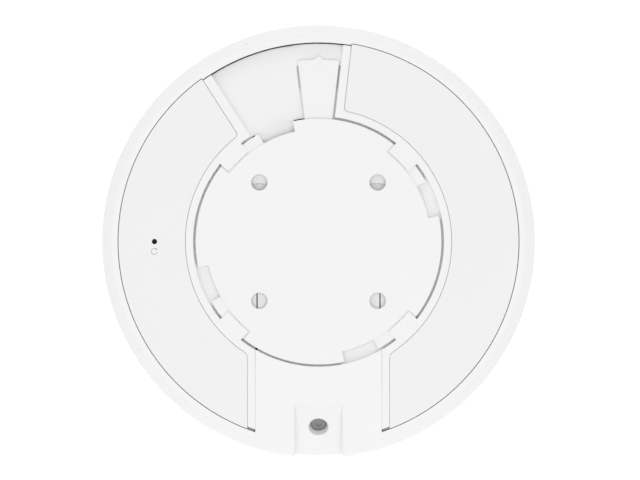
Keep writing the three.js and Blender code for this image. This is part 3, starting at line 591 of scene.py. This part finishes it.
SLOPE = math.radians(CHANNEL_SLOPE)
LOCK_V = (LOCK_R - CHANNEL_R) / math.cos(SLOPE)  # how far down the slope the lock lies


def channel_z(y):
    """The level of the channel's floor."""
    return RIM_TOP_Z - (-y - CHANNEL_R) * math.tan(SLOPE)


def on_slope(u, v, w):
    """A point beside the channel's start: across, down the slope, and out of its floor."""
    y = -CHANNEL_R - v * math.cos(SLOPE) - w * math.sin(SLOPE)
    return (u, y, RIM_TOP_Z - v * math.sin(SLOPE) + w * math.cos(SLOPE))


def channel_floor():
    """The sloping floor, with the lock's hole. It ends in an arc that follows the case's side."""
    end = []
    spans = 16
    for i in range(spans + 1):
        x = -CHANNEL_X + 2 * CHANNEL_X * i / spans
        end.append((x, (math.sqrt(CHANNEL_END_R ** 2 - x * x) - CHANNEL_R) / math.cos(SLOPE), 1))
    wide = CHANNEL_X + 0.02
    outline = [(wide, 0, 0.01), (wide, end[-1][1], 1), *end[::-1], (-wide, end[0][1], 1), (-wide, 0, 0.01)]
    hole = [(x, y, 0.01) for x, y in circle(LOCK_MOUTH_R, 0, LOCK_V)]
    return moved(plate([outline, hole], -CHANNEL_THICK, 0, steps=5), on_slope)


def channel_fillet(side):
    """The hollow rounding between the channel's floor and its wall."""
    reach = (FILLET_END_R - CHANNEL_R) / math.cos(SLOPE)
    rows = []
    spans = 24
    for i in range(spans + 1):
        v = reach * i / spans
        size = max(0.02, min(FILLET, 0.5 * v * math.sin(SLOPE), (reach - v) * 0.9))
        turns = [math.pi / 2 * k / 6 for k in range(7)]
        section = [(CHANNEL_X - size + size * math.sin(t), size - size * math.cos(t)) for t in turns]
        section += [(CHANNEL_X + 0.2, size), (CHANNEL_X + 0.2, -0.3), (CHANNEL_X - size, -0.3)]
        rows.append([on_slope(side * u, v, w) for u, w in section])
    return rows_solid(rows)


def lock_boss():
    """The sleeve round the lock's screw: a round mouth, a bore that narrows, and a seat."""
    mouth, shank, outside, end = LOCK_MOUTH_R - 0.02, 2.1, 7.2, -11
    profile = [(mouth, 0), (mouth - 0.2, -0.04), (mouth - 0.35, -0.16), (mouth - 0.42, -0.4),
               (LOCK_BORE_R, -LOCK_DEPTH), (shank, -LOCK_DEPTH), (shank, end), (outside, end),
               (outside, -2), (mouth, -2)]
    return moved(lathe(profile, 64, y=LOCK_V), on_slope)


def channel_wall(side):
    """The channel's side wall. It overlaps the rim's shell from inside, and follows its outside
    down to the dome."""
    inner = [(-r - 0.5, z + 0.45) for r, z in rim_curve(OUTER_R - SHELL, RIM_TOP_Z - SHELL, RIM_FLAT_R, 3)]
    outer = [(-109.1, PARTING_Z - 0.15), (-108.9, -11), (-108.5, -13.4), (-107.8, -16.5), (-107, -18.6)]
    under = [(y, channel_z(y) - 2.6) for y in (-106, -85)]
    profile = [(-80, -3.2), (-80, TAIL_UNDER_Z), (-103, TAIL_UNDER_Z), *inner[1:], *outer, *under]
    x0, x1 = sorted((side * (CHANNEL_X + 0.02), side * WALL_OUT_X))
    return side_plate(profile, x0, x1, 0.05, 0.05)


def tail_plate():
    """The flat plate from the bracket to the rim, cut out where the channel starts."""
    def half(side):
        out = [(*polar(TAIL_RIM_R, -90 + side * a), 0.04) for a in
               [math.degrees(math.asin(TAIL_X / TAIL_RIM_R)) * (1 - i / 16)
                + math.degrees(math.asin(CHANNEL_X / TAIL_RIM_R)) * i / 16 for i in range(17)]]
        along = [-TAIL_RIM_R + 0.8 + (TAIL_RIM_R - 0.8 - CHANNEL_R) * i / 24 for i in range(25)]
        sides = [(side * CHANNEL_X, y, min(1, 0.02 + 0.35 * (-y - CHANNEL_R))) for y in along]
        return [(side * TAIL_X, -75, 0.05), *out, *sides]
    bend_angle = math.degrees(math.asin(TAIL_X / TAIL_BEND_R))
    fold = [(x, y, 0.3) for x, y in arc(TAIL_BEND_R, -90 - bend_angle, -90 + bend_angle)]
    left = half(-1)
    outline = [*fold, *half(1), *left[::-1]]
    return plate([outline], RIM_TOP_Z - SHELL, RIM_TOP_Z)


def tail_inner():
    """The part of the tail that steps down and runs on under the bracket."""
    bend_angle = math.degrees(math.asin(TAIL_X / TAIL_BEND_R)) - 1
    fold = [*arc(TAIL_BEND_R, -90 - bend_angle, -90 + bend_angle),
            *arc(TAIL_BEND_R + 2, -90 + bend_angle, -90 - bend_angle)]
    inner_angle = math.degrees(math.asin(TAIL_INNER_X / (TAIL_BEND_R + 1)))
    under = [*arc(TAIL_BEND_R + 1, -90 - inner_angle, -90 + inner_angle),
             (TAIL_INNER_X, TAIL_END_Y), (-TAIL_INNER_X, TAIL_END_Y)]
    shells = [plate([fold], DECK_Z[0], RIM_TOP_Z - 1.2), plate([soften(under, 1)], *DECK_Z)]
    far, near = TAIL_CHEEK_Y
    cheek = [(far, DECK_Z[0]), (far, TAIL_UNDER_Z), (near, TAIL_UNDER_Z), (near, DECK_Z[0])]
    shells.append(side_plate(cheek, -TAIL_X, -TAIL_X + 2))
    shells.append(side_plate(cheek, TAIL_X - 2, TAIL_X))
    return shells + tail_seats()


def tail_seats():
    """The tail's share of the raised seats under the two bracket screws nearest to it."""
    near, low, high = HOLE_AT - SEAT_HALF, -HOLE_AT - SEAT_HALF, -HOLE_AT + SEAT_HALF
    return [plate([box_loop(x0, x1, low, high)], DECK_Z[1] - 1, SEAT_Z, 0.1)
            for x0, x1 in ((-SEAT_X[0], -near), (near, SEAT_X[0]))]


def chassis_seats():
    """The chassis's seats: beside the tail, and beyond its end in two steps."""
    low, high = HOLE_AT - SEAT_HALF, HOLE_AT + SEAT_HALF
    shells = []
    for side in (-1, 1):
        across, wide = sorted((side * SEAT_X[1], side * high)), sorted((side * low, side * high))
        shells.append(plate([box_loop(*across, -high, -low)], DECK_Z[1] - 1, SEAT_Z, 0.1))
        shells.append(plate([box_loop(*wide, low, SEAT_Y[0])], DECK_Z[1] - 1, SEAT_LOW_Z, 0.1))
        shells.append(plate([box_loop(*wide, SEAT_Y[1], high)], DECK_Z[1] - 1, SEAT_Z, 0.1))
    return shells


def rear_ring():
    shells = [main_rim(), tail_rim(-1), tail_rim(1), tail_plate(), channel_floor(), lock_boss(),
              channel_wall(-1), channel_wall(1), channel_fillet(-1), channel_fillet(1), *tail_inner()]
    return build("rear_case_ring", shells, WHITE, "access_point", ["rear_ring"])


def front_dome():
    """The radome, cut away where the lock's channel comes through the case's side."""
    outside = dome_curve(OUTER_R, HEIGHT + PARTING_Z, DOME_HOLE_R, 56)
    inside = dome_curve(OUTER_R - SHELL, HEIGHT + PARTING_Z - SHELL, DOME_HOLE_R, 24)
    top = PARTING_Z - 0.3
    edge = [(OUTER_R - 0.25, top), (OUTER_R - 0.04, top - 0.2)]
    outside = edge + [(r, z) for r, z in outside if z < top - 0.35]
    inside = [(OUTER_R - SHELL, top)] + [(r, z) for r, z in inside if z < top - 0.1]
    dome = build("dome_shell", [lathe([*outside[::-1], *inside], 256)], WHITE, "access_point",
                 ["front_dome"])
    drop = SHELL / math.cos(SLOPE) + 0.3
    cut = [(-90, 5), (-90, channel_z(-90) - drop), (-116, channel_z(-116) - drop), (-116, 5)]
    block = side_plate(cut, -DOME_NOTCH_X, DOME_NOTCH_X, 0.01, 0.01)
    tool = build("dome_notch_tool", [block], WHITE, "access_point")
    notch = dome.modifiers.new("notch", "BOOLEAN")
    notch.operation = "DIFFERENCE"
    notch.solver = "EXACT"
    notch.object = tool
    bpy.context.view_layer.update()
    dome.modifiers.move(1, 0)
    ready = bpy.data.meshes.new_from_object(dome.evaluated_get(bpy.context.evaluated_depsgraph_get()))
    dome.modifiers.clear()
    dome.data = ready
    bpy.data.objects.remove(tool)
    ready.set_sharp_from_angle(angle=math.radians(SHARP_ANGLE))
    return dome


# ---- Bracket and tongue ----
def bracket_outline():
    """The disc's rim, stepped in from each notch to the end of its track."""
    loop = []
    for lug in LUGS:
        start, end = lug - UNLOCK - NOTCH_HALF, lug + TRACK_END
        loop += arc(BRACKET_R, end - 90, start)
        loop += arc(TRACK_R, start, end)
    return soften(loop, 0.5)


def bracket_skirt():
    """The wall under the disc, round the notches and tracks. Behind the notch that lies over the
    cable's shelf it is open."""
    wall, past = 2, 2.5
    at = inside = CABLE_LUG - UNLOCK + NOTCH_HALF
    last = CABLE_LUG - UNLOCK - NOTCH_HALF + 360
    outer, inner = [], []
    for turn in (0, 90, 180, 270):
        track_end = CABLE_LUG + turn + TRACK_END + past
        notch = CABLE_LUG + turn + 90 - UNLOCK
        open_from = min(notch - NOTCH_HALF, last)
        outer += arc(BRACKET_R, at, open_from)
        inner += arc(TRACK_R - wall, inside, track_end)
        inner += arc(BRACKET_R - wall, track_end, min(open_from - past, last) if turn < 270 else last)
        if turn < 270:
            outer += arc(TRACK_R, open_from, notch + NOTCH_HALF)
        at, inside = notch + NOTCH_HALF, open_from - past
    return outer + inner[::-1]


def mount_bracket():
    places = [(x, y) for x in (-HOLE_AT, HOLE_AT) for y in (-HOLE_AT, HOLE_AT)]
    holes = [circle(HOLE_R, x, y) for x, y in places]
    shells = [plate([bracket_outline(), *holes], DISC_UNDER_Z, 0, top=0.35),
              plate([soften(bracket_skirt(), 0.4)], -BRACKET_DEPTH, TRACK_Z, top=0.1)]
    for (x, y), hole in zip(places, holes):
        shells.append(plate([circle(HOLE_R + COLLAR, x, y), hole], *COLLAR_Z))
    web = [*arc(BRACKET_R - 0.5, 90 + TONGUE_HALF - 0.2, 90 - TONGUE_HALF + 0.2),
           *arc(BRACKET_R + 0.6, 90 - TONGUE_HALF + 0.2, 90 + TONGUE_HALF - 0.2)]
    shells.append(plate([web], TONGUE_Z[0] + 0.1, TONGUE_Z[1] - 0.35))
    return build("bracket_disc", shells, INNER_WHITE, "bracket", ["mount_bracket"])


def latch_tongue():
    start, end = 90 - TONGUE_HALF, 90 + TONGUE_HALF
    outer = arc(TONGUE_R, start, end)
    wide, narrow = ARROW_HALF
    right = [p for p in outer if p[0] > wide + 0.1]
    left = [p for p in outer if p[0] < -wide - 0.1]
    root_y = math.sqrt(TONGUE_R ** 2 - wide ** 2)
    arrow = [(wide, root_y), (narrow, ARROW_R), (-narrow, ARROW_R), (-wide, root_y)]
    outline = [*arc(BRACKET_R + 0.3, end, start), *right, *arrow, *left]
    shells = [plate([soften(outline, 0.5, sharp=50)], *TONGUE_Z, top=0.35)]
    mark = [(1.15, 90.0), (0, 91.9), (-1.15, 90.0)]
    shells.append(plate([mark], TONGUE_Z[1] - 0.1, TONGUE_Z[1] + 0.25, top=0.12))
    return build("release_tongue", shells, INNER_WHITE, "tongue", ["latch_tongue"])


# ---- Rear chassis ----
def inner_side(start, end, lugs, radius, lug_bumps):
    """The ring's inner edge between two angles, with its bayonet lugs."""
    half = math.degrees(math.asin(LUG_HALF / radius))
    points = []
    at = start
    for lug in lugs if lug_bumps else ():
        points += arc(radius, at, lug - half)
        for across in (-1, 1):
            x, y = polar(LUG_CHORD_R, lug)
            dx, dy = polar(across * LUG_HALF, lug + 90)
            points.append((x + dx, y + dy))
        at = lug + half
    return points + arc(radius, at, end)


def left_frame(lug_bumps):
    """The ring's left half with its two straight ribs, as one closed outline."""
    inner, outer = RING_R
    tail_in = 180 + math.degrees(math.acos(TAIL_RIB_X[0] / inner))
    tail_out = 180 + math.degrees(math.acos(TAIL_RIB_X[1] / outer))
    far = [180 + math.degrees(math.acos(x / CHASSIS_R)) for x in TAIL_RIB_X]
    top = angle_beside(BAY_LEFT, BAY_LEFT_RIB, outer)
    return [*inner_side(BAY_LEFT, tail_in, (135, 225), inner, lug_bumps),
            *arc(CHASSIS_R, far[0], far[1]),
            *arc(outer, tail_out, top),
            *arc(CHASSIS_R, angle_beside(BAY_LEFT, BAY_LEFT_RIB, CHASSIS_R), BAY_LEFT)]


def right_frame(lug_bumps):
    """The ring's right half with its two straight ribs."""
    inner, outer = RING_R
    tail_in = -math.degrees(math.acos(TAIL_RIB_X[0] / inner))
    tail_out = -math.degrees(math.acos(TAIL_RIB_X[1] / outer))
    far = [-math.degrees(math.acos(x / CHASSIS_R)) for x in TAIL_RIB_X]
    corners = ((BAY_RIGHT_GAP, inner), (BAY_RIGHT_GAP, CHASSIS_R), (BAY_RIGHT_RIB, CHASSIS_R),
               (BAY_RIGHT_RIB, outer))
    ends = [angle_beside(BAY_RIGHT, -left, r) for left, r in corners]
    return [*inner_side(tail_in, ends[0], (-45, 45), inner, lug_bumps),
            *arc(CHASSIS_R, ends[1], ends[2]),
            *arc(outer, ends[3], tail_out),
            *arc(CHASSIS_R, far[1], far[0])]


def tongue_slot(near, far, grow=0):
    """The slot under the tongue, between two distances from the centre."""
    right = [beside(BAY_RIGHT, -BAY_RIGHT_GAP - grow, r) for r in (near, far)]
    left = [beside(90 + TONGUE_HALF, SLOT_GAP + grow, r) for r in (near, far)]
    ends = [math.degrees(math.atan2(y, x)) for x, y in (right[1], left[1])]
    return [right[0], *arc(far, *ends), left[0]]


def chassis_deck():
    """The chassis's floor, cut out for the tail, the plug's well with its shelf, and the tongue's
    slot. Two slits follow the bracket's edge across the bay."""
    gap_r = TAIL_BEND_R - 0.3
    tail = TAIL_RIB_X[0]
    low = math.degrees(math.asin(tail / CHASSIS_R))
    inner_x = TAIL_INNER_X + TAIL_FREE
    inner_y = -math.sqrt((TAIL_BEND_R + 1) ** 2 - inner_x ** 2)
    bend_y = -math.sqrt(gap_r ** 2 - tail ** 2)
    slot = tongue_slot(SLOT_R, CHASSIS_R)
    slot_edges = [math.degrees(math.atan2(y, x)) for x, y in (slot[1], slot[-2])]
    end = TAIL_END_Y + TAIL_FREE
    well = [WELL_X[0] - WELL_WALL - WELL_FREE, WELL_X[1] + WELL_WALL + WELL_FREE]
    outline = [*arc(CHASSIS_R, -90 + low, slot_edges[0]), slot[0], slot[-1],
               *arc(CHASSIS_R, slot_edges[1], 270 - low), (-tail, bend_y), (-inner_x, inner_y + 4),
               (-inner_x, end), (well[0], end), (well[0], SHELF_Y[0]), (SHELF_X[0], SHELF_Y[0], 0.01),
               (SHELF_X[0], SHELF_Y[1], 0.01), (SHELF_X[1], SHELF_Y[1], 0.01), (SHELF_X[1], SHELF_Y[0], 0.01),
               (well[1], SHELF_Y[0]), (well[1], end), (inner_x, end), (inner_x, inner_y + 4), (tail, bend_y)]
    slits = []
    for start, finish in ((90 + TONGUE_HALF, CABLE_LUG - UNLOCK - NOTCH_HALF - 0.6),
                          (CABLE_LUG - UNLOCK + NOTCH_HALF + 1.5, BAY_LEFT)):
        slits.append([*arc(BRACKET_R + 0.1, start, finish), *arc(BRACKET_R + 0.6, finish, start)])
    return plate([outline, *slits, circle(RESET_TUBE_R[0], RESET_X, 0, 32)], *DECK_Z, top=0.2)


def cable_shelf():
    """The slope that takes the cable from the well up to the bay's floor, with one cheek on its left side.
    The bay's floor runs in under the bracket's edge before the slope starts."""
    (x0, x1), (y0, y1), top = SHELF_X, SHELF_Y, DECK_Z[1]
    foot = SHELF_LOW_Z - 1.6
    left, right = SHELF_TURN_X
    rows = []
    spans = 37
    for i in range(spans + 1):
        x = x0 + (x1 - x0) * i / spans
        low = SHELF_LOW_Z + SHELF_RISE * min(1, max(0, (right - x) / (right - left)))
        edge = max(y0 + 1.6, math.sqrt((TRACK_R - 0.7) ** 2 - x * x))
        rows.append([(x, y, z) for y, z in ((y0, foot), (y0, low), (edge, top - 0.1), (edge + 1, top - 0.02),
                                            (y1 - 1, top), (y1, top), (y1, foot + 2))])
    cheek = [(y0, foot), (y1 + 1.6, top - 1), (y1 + 1.6, top - 0.1), (y0, top - 0.1)]
    return [rows_solid(rows), side_plate(cheek, x0 - WELL_WALL, x0)]


def plug_well():
    """The cup that holds the plug: a low back wall lets the cable out over the shelf."""
    (x0, x1), (y0, y1) = WELL_X, WELL_Y
    wall, floor = WELL_WALL, WELL_FLOOR_Z
    front, back = y0 - wall, y1 + wall
    a, b = JACK_WINDOW_X
    base = [(x0 - wall, front), (a, front), (a, JACK_WINDOW_Y), (b, JACK_WINDOW_Y), (b, front),
            (x1 + wall, front), (x1 + wall, back), (x0 - wall, back)]
    left = [(x0 - wall, front), (a, front), (a, y0), (x0, y0), (x0, back), (x0 - wall, back)]
    right = [(b, front), (x1 + wall, front), (x1 + wall, back), (x1, back), (x1, y0), (b, y0)]
    shells = [plate([base], floor - wall, floor)]
    shells += [plate([loop], floor - 0.1, DECK_Z[1]) for loop in (left, right)]
    shells.append(plate([box_loop(x0 - 0.1, x1 + 0.1, y1, back)], floor - 0.1, WELL_BACK_Z))
    return build("plug_well_cup", shells, INNER_WHITE, "access_point", ["plug_well"])


def catch_ramp():
    """The low ramp beside the tongue. Its section runs across the tongue's left edge, and it rises
    out of the deck towards the slot."""
    angle = math.radians(90 + TONGUE_HALF)
    foot = DECK_Z[1] - 0.02
    rows = []
    spans = 12
    for i in range(spans + 1):
        along = RAMP_R + (SLOT_R - RAMP_R) * i / spans if i < spans else CHASSIS_R - 0.7
        t = min(1, (along - RAMP_R) / (SLOT_R - RAMP_R))
        crest = foot + RAMP_RISE * smooth(t)
        section = [(SLOT_GAP, foot - 1), (RAMP_WIDTH, foot - 1), (RAMP_WIDTH, foot),
                   (2.3, foot + (crest - foot) * 0.95), (1.9, crest), (SLOT_GAP + 0.15, crest),
                   (SLOT_GAP, crest - 0.15 * t)]
        rows.append([(along * math.cos(angle) - across * math.sin(angle),
                      along * math.sin(angle) + across * math.cos(angle), z) for across, z in section])
    return rows_solid(rows)


def notch_floors():
    """Raised floors under the bracket's notches."""
    shells = []
    for lug in LUGS:
        if lug == CABLE_LUG:
            continue
        start, end = lug - UNLOCK - NOTCH_HALF - 2, lug - UNLOCK + NOTCH_HALF + 2
        pad = [*arc(TRACK_R - 1.8, start, end), *arc(RING_R[0] + 0.5, end, start)]
        shells.append(plate([pad], DECK_Z[1] - 1, NOTCH_FLOOR_Z, 0.1))
    return shells


def rib_corner(corner):
    """How far each corner of the ribs is rounded: the ones that hold a panel's corner are larger."""
    return PANEL_CORNER + PANEL_GAP if abs(math.hypot(*corner[:2]) - RING_R[1]) < 0.5 else 0.35


def sharp_by_tail(loop):
    """Gives the ribs' corners beside the tail a nearly sharp top edge."""
    return [(x, y, 0.05) if y < 0 and abs(abs(x) - TAIL_RIB_X[0]) < 0.02 else (x, y) for x, y in loop]


def rear_chassis():
    root, wall = DECK_Z[1] - 1, 1.4
    shells = [chassis_deck(), catch_ramp(), *cable_shelf(), *chassis_seats(), *notch_floors()]
    for outline in (left_frame, right_frame):
        tall = soften(sharp_by_tail(outline(True)), rib_corner)
        shells.append(plate([tall], LUG_UNDER_Z, RIB_TOP_Z, top=0.3))
        shells.append(plate([soften(outline(False), 0.35)], root, LUG_UNDER_Z + 0.3, top=0.01))
    deep = tongue_slot(SLOT_R - wall, POCKET_R + wall, wall)
    shells.append(plate([deep], SLOT_FLOOR_Z - wall, SLOT_FLOOR_Z))
    pocket = tongue_slot(POCKET_R, CHASSIS_R - 0.05, 0.8)
    shells.append(plate([pocket], SLOT_FLOOR_Z - 1, POCKET_Z, 0.02))
    for side in (-1, 1):
        angles = [-90 + side * math.degrees(math.asin(x / CHASSIS_R)) for x in TAIL_RIB_X]
        end = [*arc(CHASSIS_R - 1, *angles), *arc(RIM_INNER_R, *angles[::-1])]
        shells.append(plate([end], DECK_Z[0], RIB_END_Z))
    for x in (-POST_AT, POST_AT):
        for y in (-POST_AT, POST_AT):
            post = [circle(POST_R[1], x, y, 32), circle(POST_R[0], x, y, 24)]
            shells.append(plate(post, POST_END_Z, DECK_Z[0] + 0.5))
    tube = [circle(RESET_TUBE_R[1], RESET_X, 0, 32), circle(RESET_TUBE_R[0], RESET_X, 0, 24)]
    shells.append(plate(tube, DECK_Z[0], PANEL_Z[0] - 0.3))
    return build("rear_chassis_frame", shells, INNER_WHITE, "access_point", ["rear_chassis"])


# ---- Back panels ----
def panel_outline(side):
    """A crescent between the ring and the rim, from the tail to the cable bay or the tongue."""
    inner, outer = RING_R[1] + PANEL_GAP, RIM_INNER_R - PANEL_RIM_GAP
    edge_x = TAIL_RIB_X[1] + PANEL_TAIL_GAP
    if side < 0:
        spoke, left = BAY_LEFT, BAY_LEFT_RIB + PANEL_GAP
        low = [180 + math.degrees(math.acos(edge_x / r)) for r in (inner, outer)]
    else:
        spoke, left = BAY_RIGHT, -BAY_RIGHT_RIB - PANEL_GAP
        low = [-math.degrees(math.acos(edge_x / r)) for r in (inner, outer)]
    top = [angle_beside(spoke, left, r) for r in (inner, outer)]
    return arc(inner, low[0], top[0]) + arc(outer, top[1], low[1])


def panel_corner(corner):
    """How far each corner of a panel is rounded: the ones at the ring are larger."""
    return PANEL_CORNER if math.hypot(*corner[:2]) < CHANNEL_R else 0.3


def panel(name, side, node, holes=()):
    outline = soften(panel_outline(side), panel_corner)
    shells = [plate([outline, *holes], *PANEL_Z, top=0.22)]
    for angle in PEG_ANGLES:
        x, y = polar((RING_R[1] + RIM_INNER_R) / 2, 180 + angle if side < 0 else angle)
        shells.append(plate([circle(PEG_R, x, y, 24)], PEG_END_Z, PANEL_Z[0] + 0.5))
    return build(name, shells, PANEL_WHITE, "access_point", [node])


# ---- Small round pieces ----
def light_pipe():
    """The clear pin from the board's light to its round window in the middle of the dome."""
    low, high = PIPE_FLANGE_Z
    pipe, flange = 2.8, 5.5
    profile = [(0, -HEIGHT + 0.02), (1.2, -HEIGHT + 0.04), (2.3, -HEIGHT + 0.14), (2.65, -HEIGHT + 0.35),
               (pipe, -HEIGHT + 0.7), (pipe, low), (flange, low), (flange, high), (pipe, high),
               (2, PIPE_TOP_Z), (0, PIPE_TOP_Z)]
    return build("light_pipe_lens", [lathe(profile, 64, closed=False)], LENS, "access_point",
                 ["status_light_pipe"])


def lock_screw():
    """A round-headed screw with a plain socket, square to the channel's slope."""
    top, socket, head, shank = SCREW_TOP, 1.5, 4.15, 1.9
    profile = [(0, top - 0.35), (socket, top - 0.35), (socket + 0.05, top), (3.6, top), (4, top - 0.1),
               (head, top - 0.3), (head, top - 0.65), (shank, top - 0.65), (shank, SCREW_END),
               (0, SCREW_END)]
    shells = [moved(lathe(profile, 48, closed=False, y=LOCK_V), on_slope)]
    return build("security_screw", shells, DARK_STEEL, "access_point", ["lock_screw"])


def reset_mark():
    """A small printed sign below the pinhole: an arrow that runs round in a circle."""
    low, high = PANEL_Z[1] - 0.05, PANEL_Z[1] + 0.015
    ring = [*circle_part(MARK_R[1], 60, 345), *circle_part(MARK_R[0], 345, 60)]
    tip = [circle_point(0.85, 62), circle_point(2.25, 62), circle_point(1.55, 22)]
    shells = [plate([loop], low, high, 0.005, 0.005, 1) for loop in (ring, tip)]
    return build("reset_mark", shells, PRINT, "access_point")


def rim_dots():
    """Two faint printed dots on the rim's bevel that line the case up with the bracket."""
    shells = []
    dot = lathe([(0, 0.02), (0.55, 0.02), (0.6, -0.1), (0, -0.1)], 24, closed=False)
    for angle, radius, z, tilt in RIM_DOTS:
        shells.append(moved(dot, on_bevel(angle, radius, z, tilt)))
    return build("rim_dots", shells, FAINT_PRINT, "access_point")


def on_bevel(angle, radius, z, tilt):
    """Lays a flat shape on the bevel at a point, tilted outwards."""
    c, s = math.cos(math.radians(tilt)), math.sin(math.radians(tilt))

    def place(u, v, w):
        x, y = polar(radius + u * c + w * s, angle)
        dx, dy = polar(v, angle + 90)
        return (x + dx, y + dy, z - u * s + w * c)
    return place


def circle_point(radius, angle):
    """A point of the printed mark."""
    x, y = polar(radius, angle)
    return (x + RESET_X, y + MARK_Y)


def circle_part(radius, start, end):
    return [(x + RESET_X, y + MARK_Y) for x, y in arc(radius, start, end, 10)]


def carried_nodes():
    """Inner CAD pieces keep their shape and get a finished material."""
    looks = {
        "main_board": BOARD, "heat_spreader": ALUMINIUM, "ethernet_jack": STEEL, "jack_contacts": GOLD,
        "reset_switch": BLACK, "reset_plunger": BLACK, "status_led": LENS, "network_transformer": BLACK,
        "power_inductor": BLACK, "capacitor_1": ALUMINIUM, "capacitor_2": ALUMINIUM,
    }
    for part in ("processor", "radio_a", "radio_b"):
        looks[f"shield_can_{part}"] = STEEL
        looks[f"thermal_pad_{part}"] = PAD
    for i in range(1, 5):
        looks[f"antenna_{i}"] = STEEL
        looks[f"antenna_cable_{i}"] = BLACK
        looks[f"chassis_screw_{i}"] = STEEL
    for name, material in looks.items():
        thing = frame["nodes"][name]
        if thing.material_slots:
            thing.material_slots[0].material = material
        else:
            thing.data.materials.append(material)


rear_ring()
front_dome()
mount_bracket()
latch_tongue()
rear_chassis()
plug_well()
reset_mark()
rim_dots()
panel("left_panel", -1, "left_back_panel", [circle(PINHOLE_R, RESET_X, 0, 32)])
panel("right_panel", 1, "right_back_panel")
light_pipe()
lock_screw()
carried_nodes()


# ---- Stage, light and camera ----
def stage():
    """A white floor under the dome that turns up into a low wall far away."""
    points, faces = lathe([(0, -HEIGHT), (SWEEP_R, -HEIGHT), (SWEEP_R, SWEEP_TOP_Z)], 96, closed=False)
    mesh = bpy.data.meshes.new("floor")
    mesh.from_pydata([tuple(c * MM for c in p) for p in points], [], faces)
    floor = bpy.data.objects.new("floor", mesh)
    bpy.context.scene.collection.objects.link(floor)
    material, nodes, _ = node_tree("pale_floor")
    shader = nodes["Principled BSDF"]
    shader.inputs["Base Color"].default_value = (0.1, 0.1, 0.1, 1)
    shader.inputs["Roughness"].default_value = 0.9
    shader.inputs["Emission Color"].default_value = (1, 1, 1, 1)
    shader.inputs["Emission Strength"].default_value = 0.94
    mesh.materials.append(material)


def soft_light(name, place, size, power):
    """A round lamp that faces the origin. Its place and size are in metres."""
    data = bpy.data.lights.new(name, "AREA")
    data.shape = "DISK"
    data.size = size
    data.energy = power
    lamp = bpy.data.objects.new(name, data)
    lamp.location = place
    lamp.rotation_euler = (-Vector(place)).to_track_quat("-Z", "Y").to_euler()
    lamp.visible_camera = False
    bpy.context.scene.collection.objects.link(lamp)


def world():
    scene = bpy.context.scene
    scene.world = bpy.data.worlds.new("studio")
    scene.world.use_nodes = True
    back = scene.world.node_tree.nodes["Background"]
    back.inputs["Color"].default_value = (1, 1, 1, 1)
    back.inputs["Strength"].default_value = 0.665


def camera():
    data = bpy.data.cameras.new("camera")
    data.sensor_width = SENSOR
    data.lens = SENSOR * CAMERA_AT[2] / VIEW_WIDTH
    data.clip_end = 50
    shown = bpy.data.objects.new("camera", data)
    shown.location = [c * MM for c in CAMERA_AT]
    bpy.context.scene.collection.objects.link(shown)
    bpy.context.scene.camera = shown


stage()
soft_light("overhead", (0, -0.3, 1.8), 1.6, 9.33)
soft_light("near_side", (0, -1.7, 0.9), 1.2, 2.6)
soft_light("far_side", (0, 1.7, 0.9), 1.2, 3.8)
bpy.context.scene.cycles.diffuse_bounces = 10
world()
camera()
bpy.context.scene.view_settings.view_transform = "Standard"
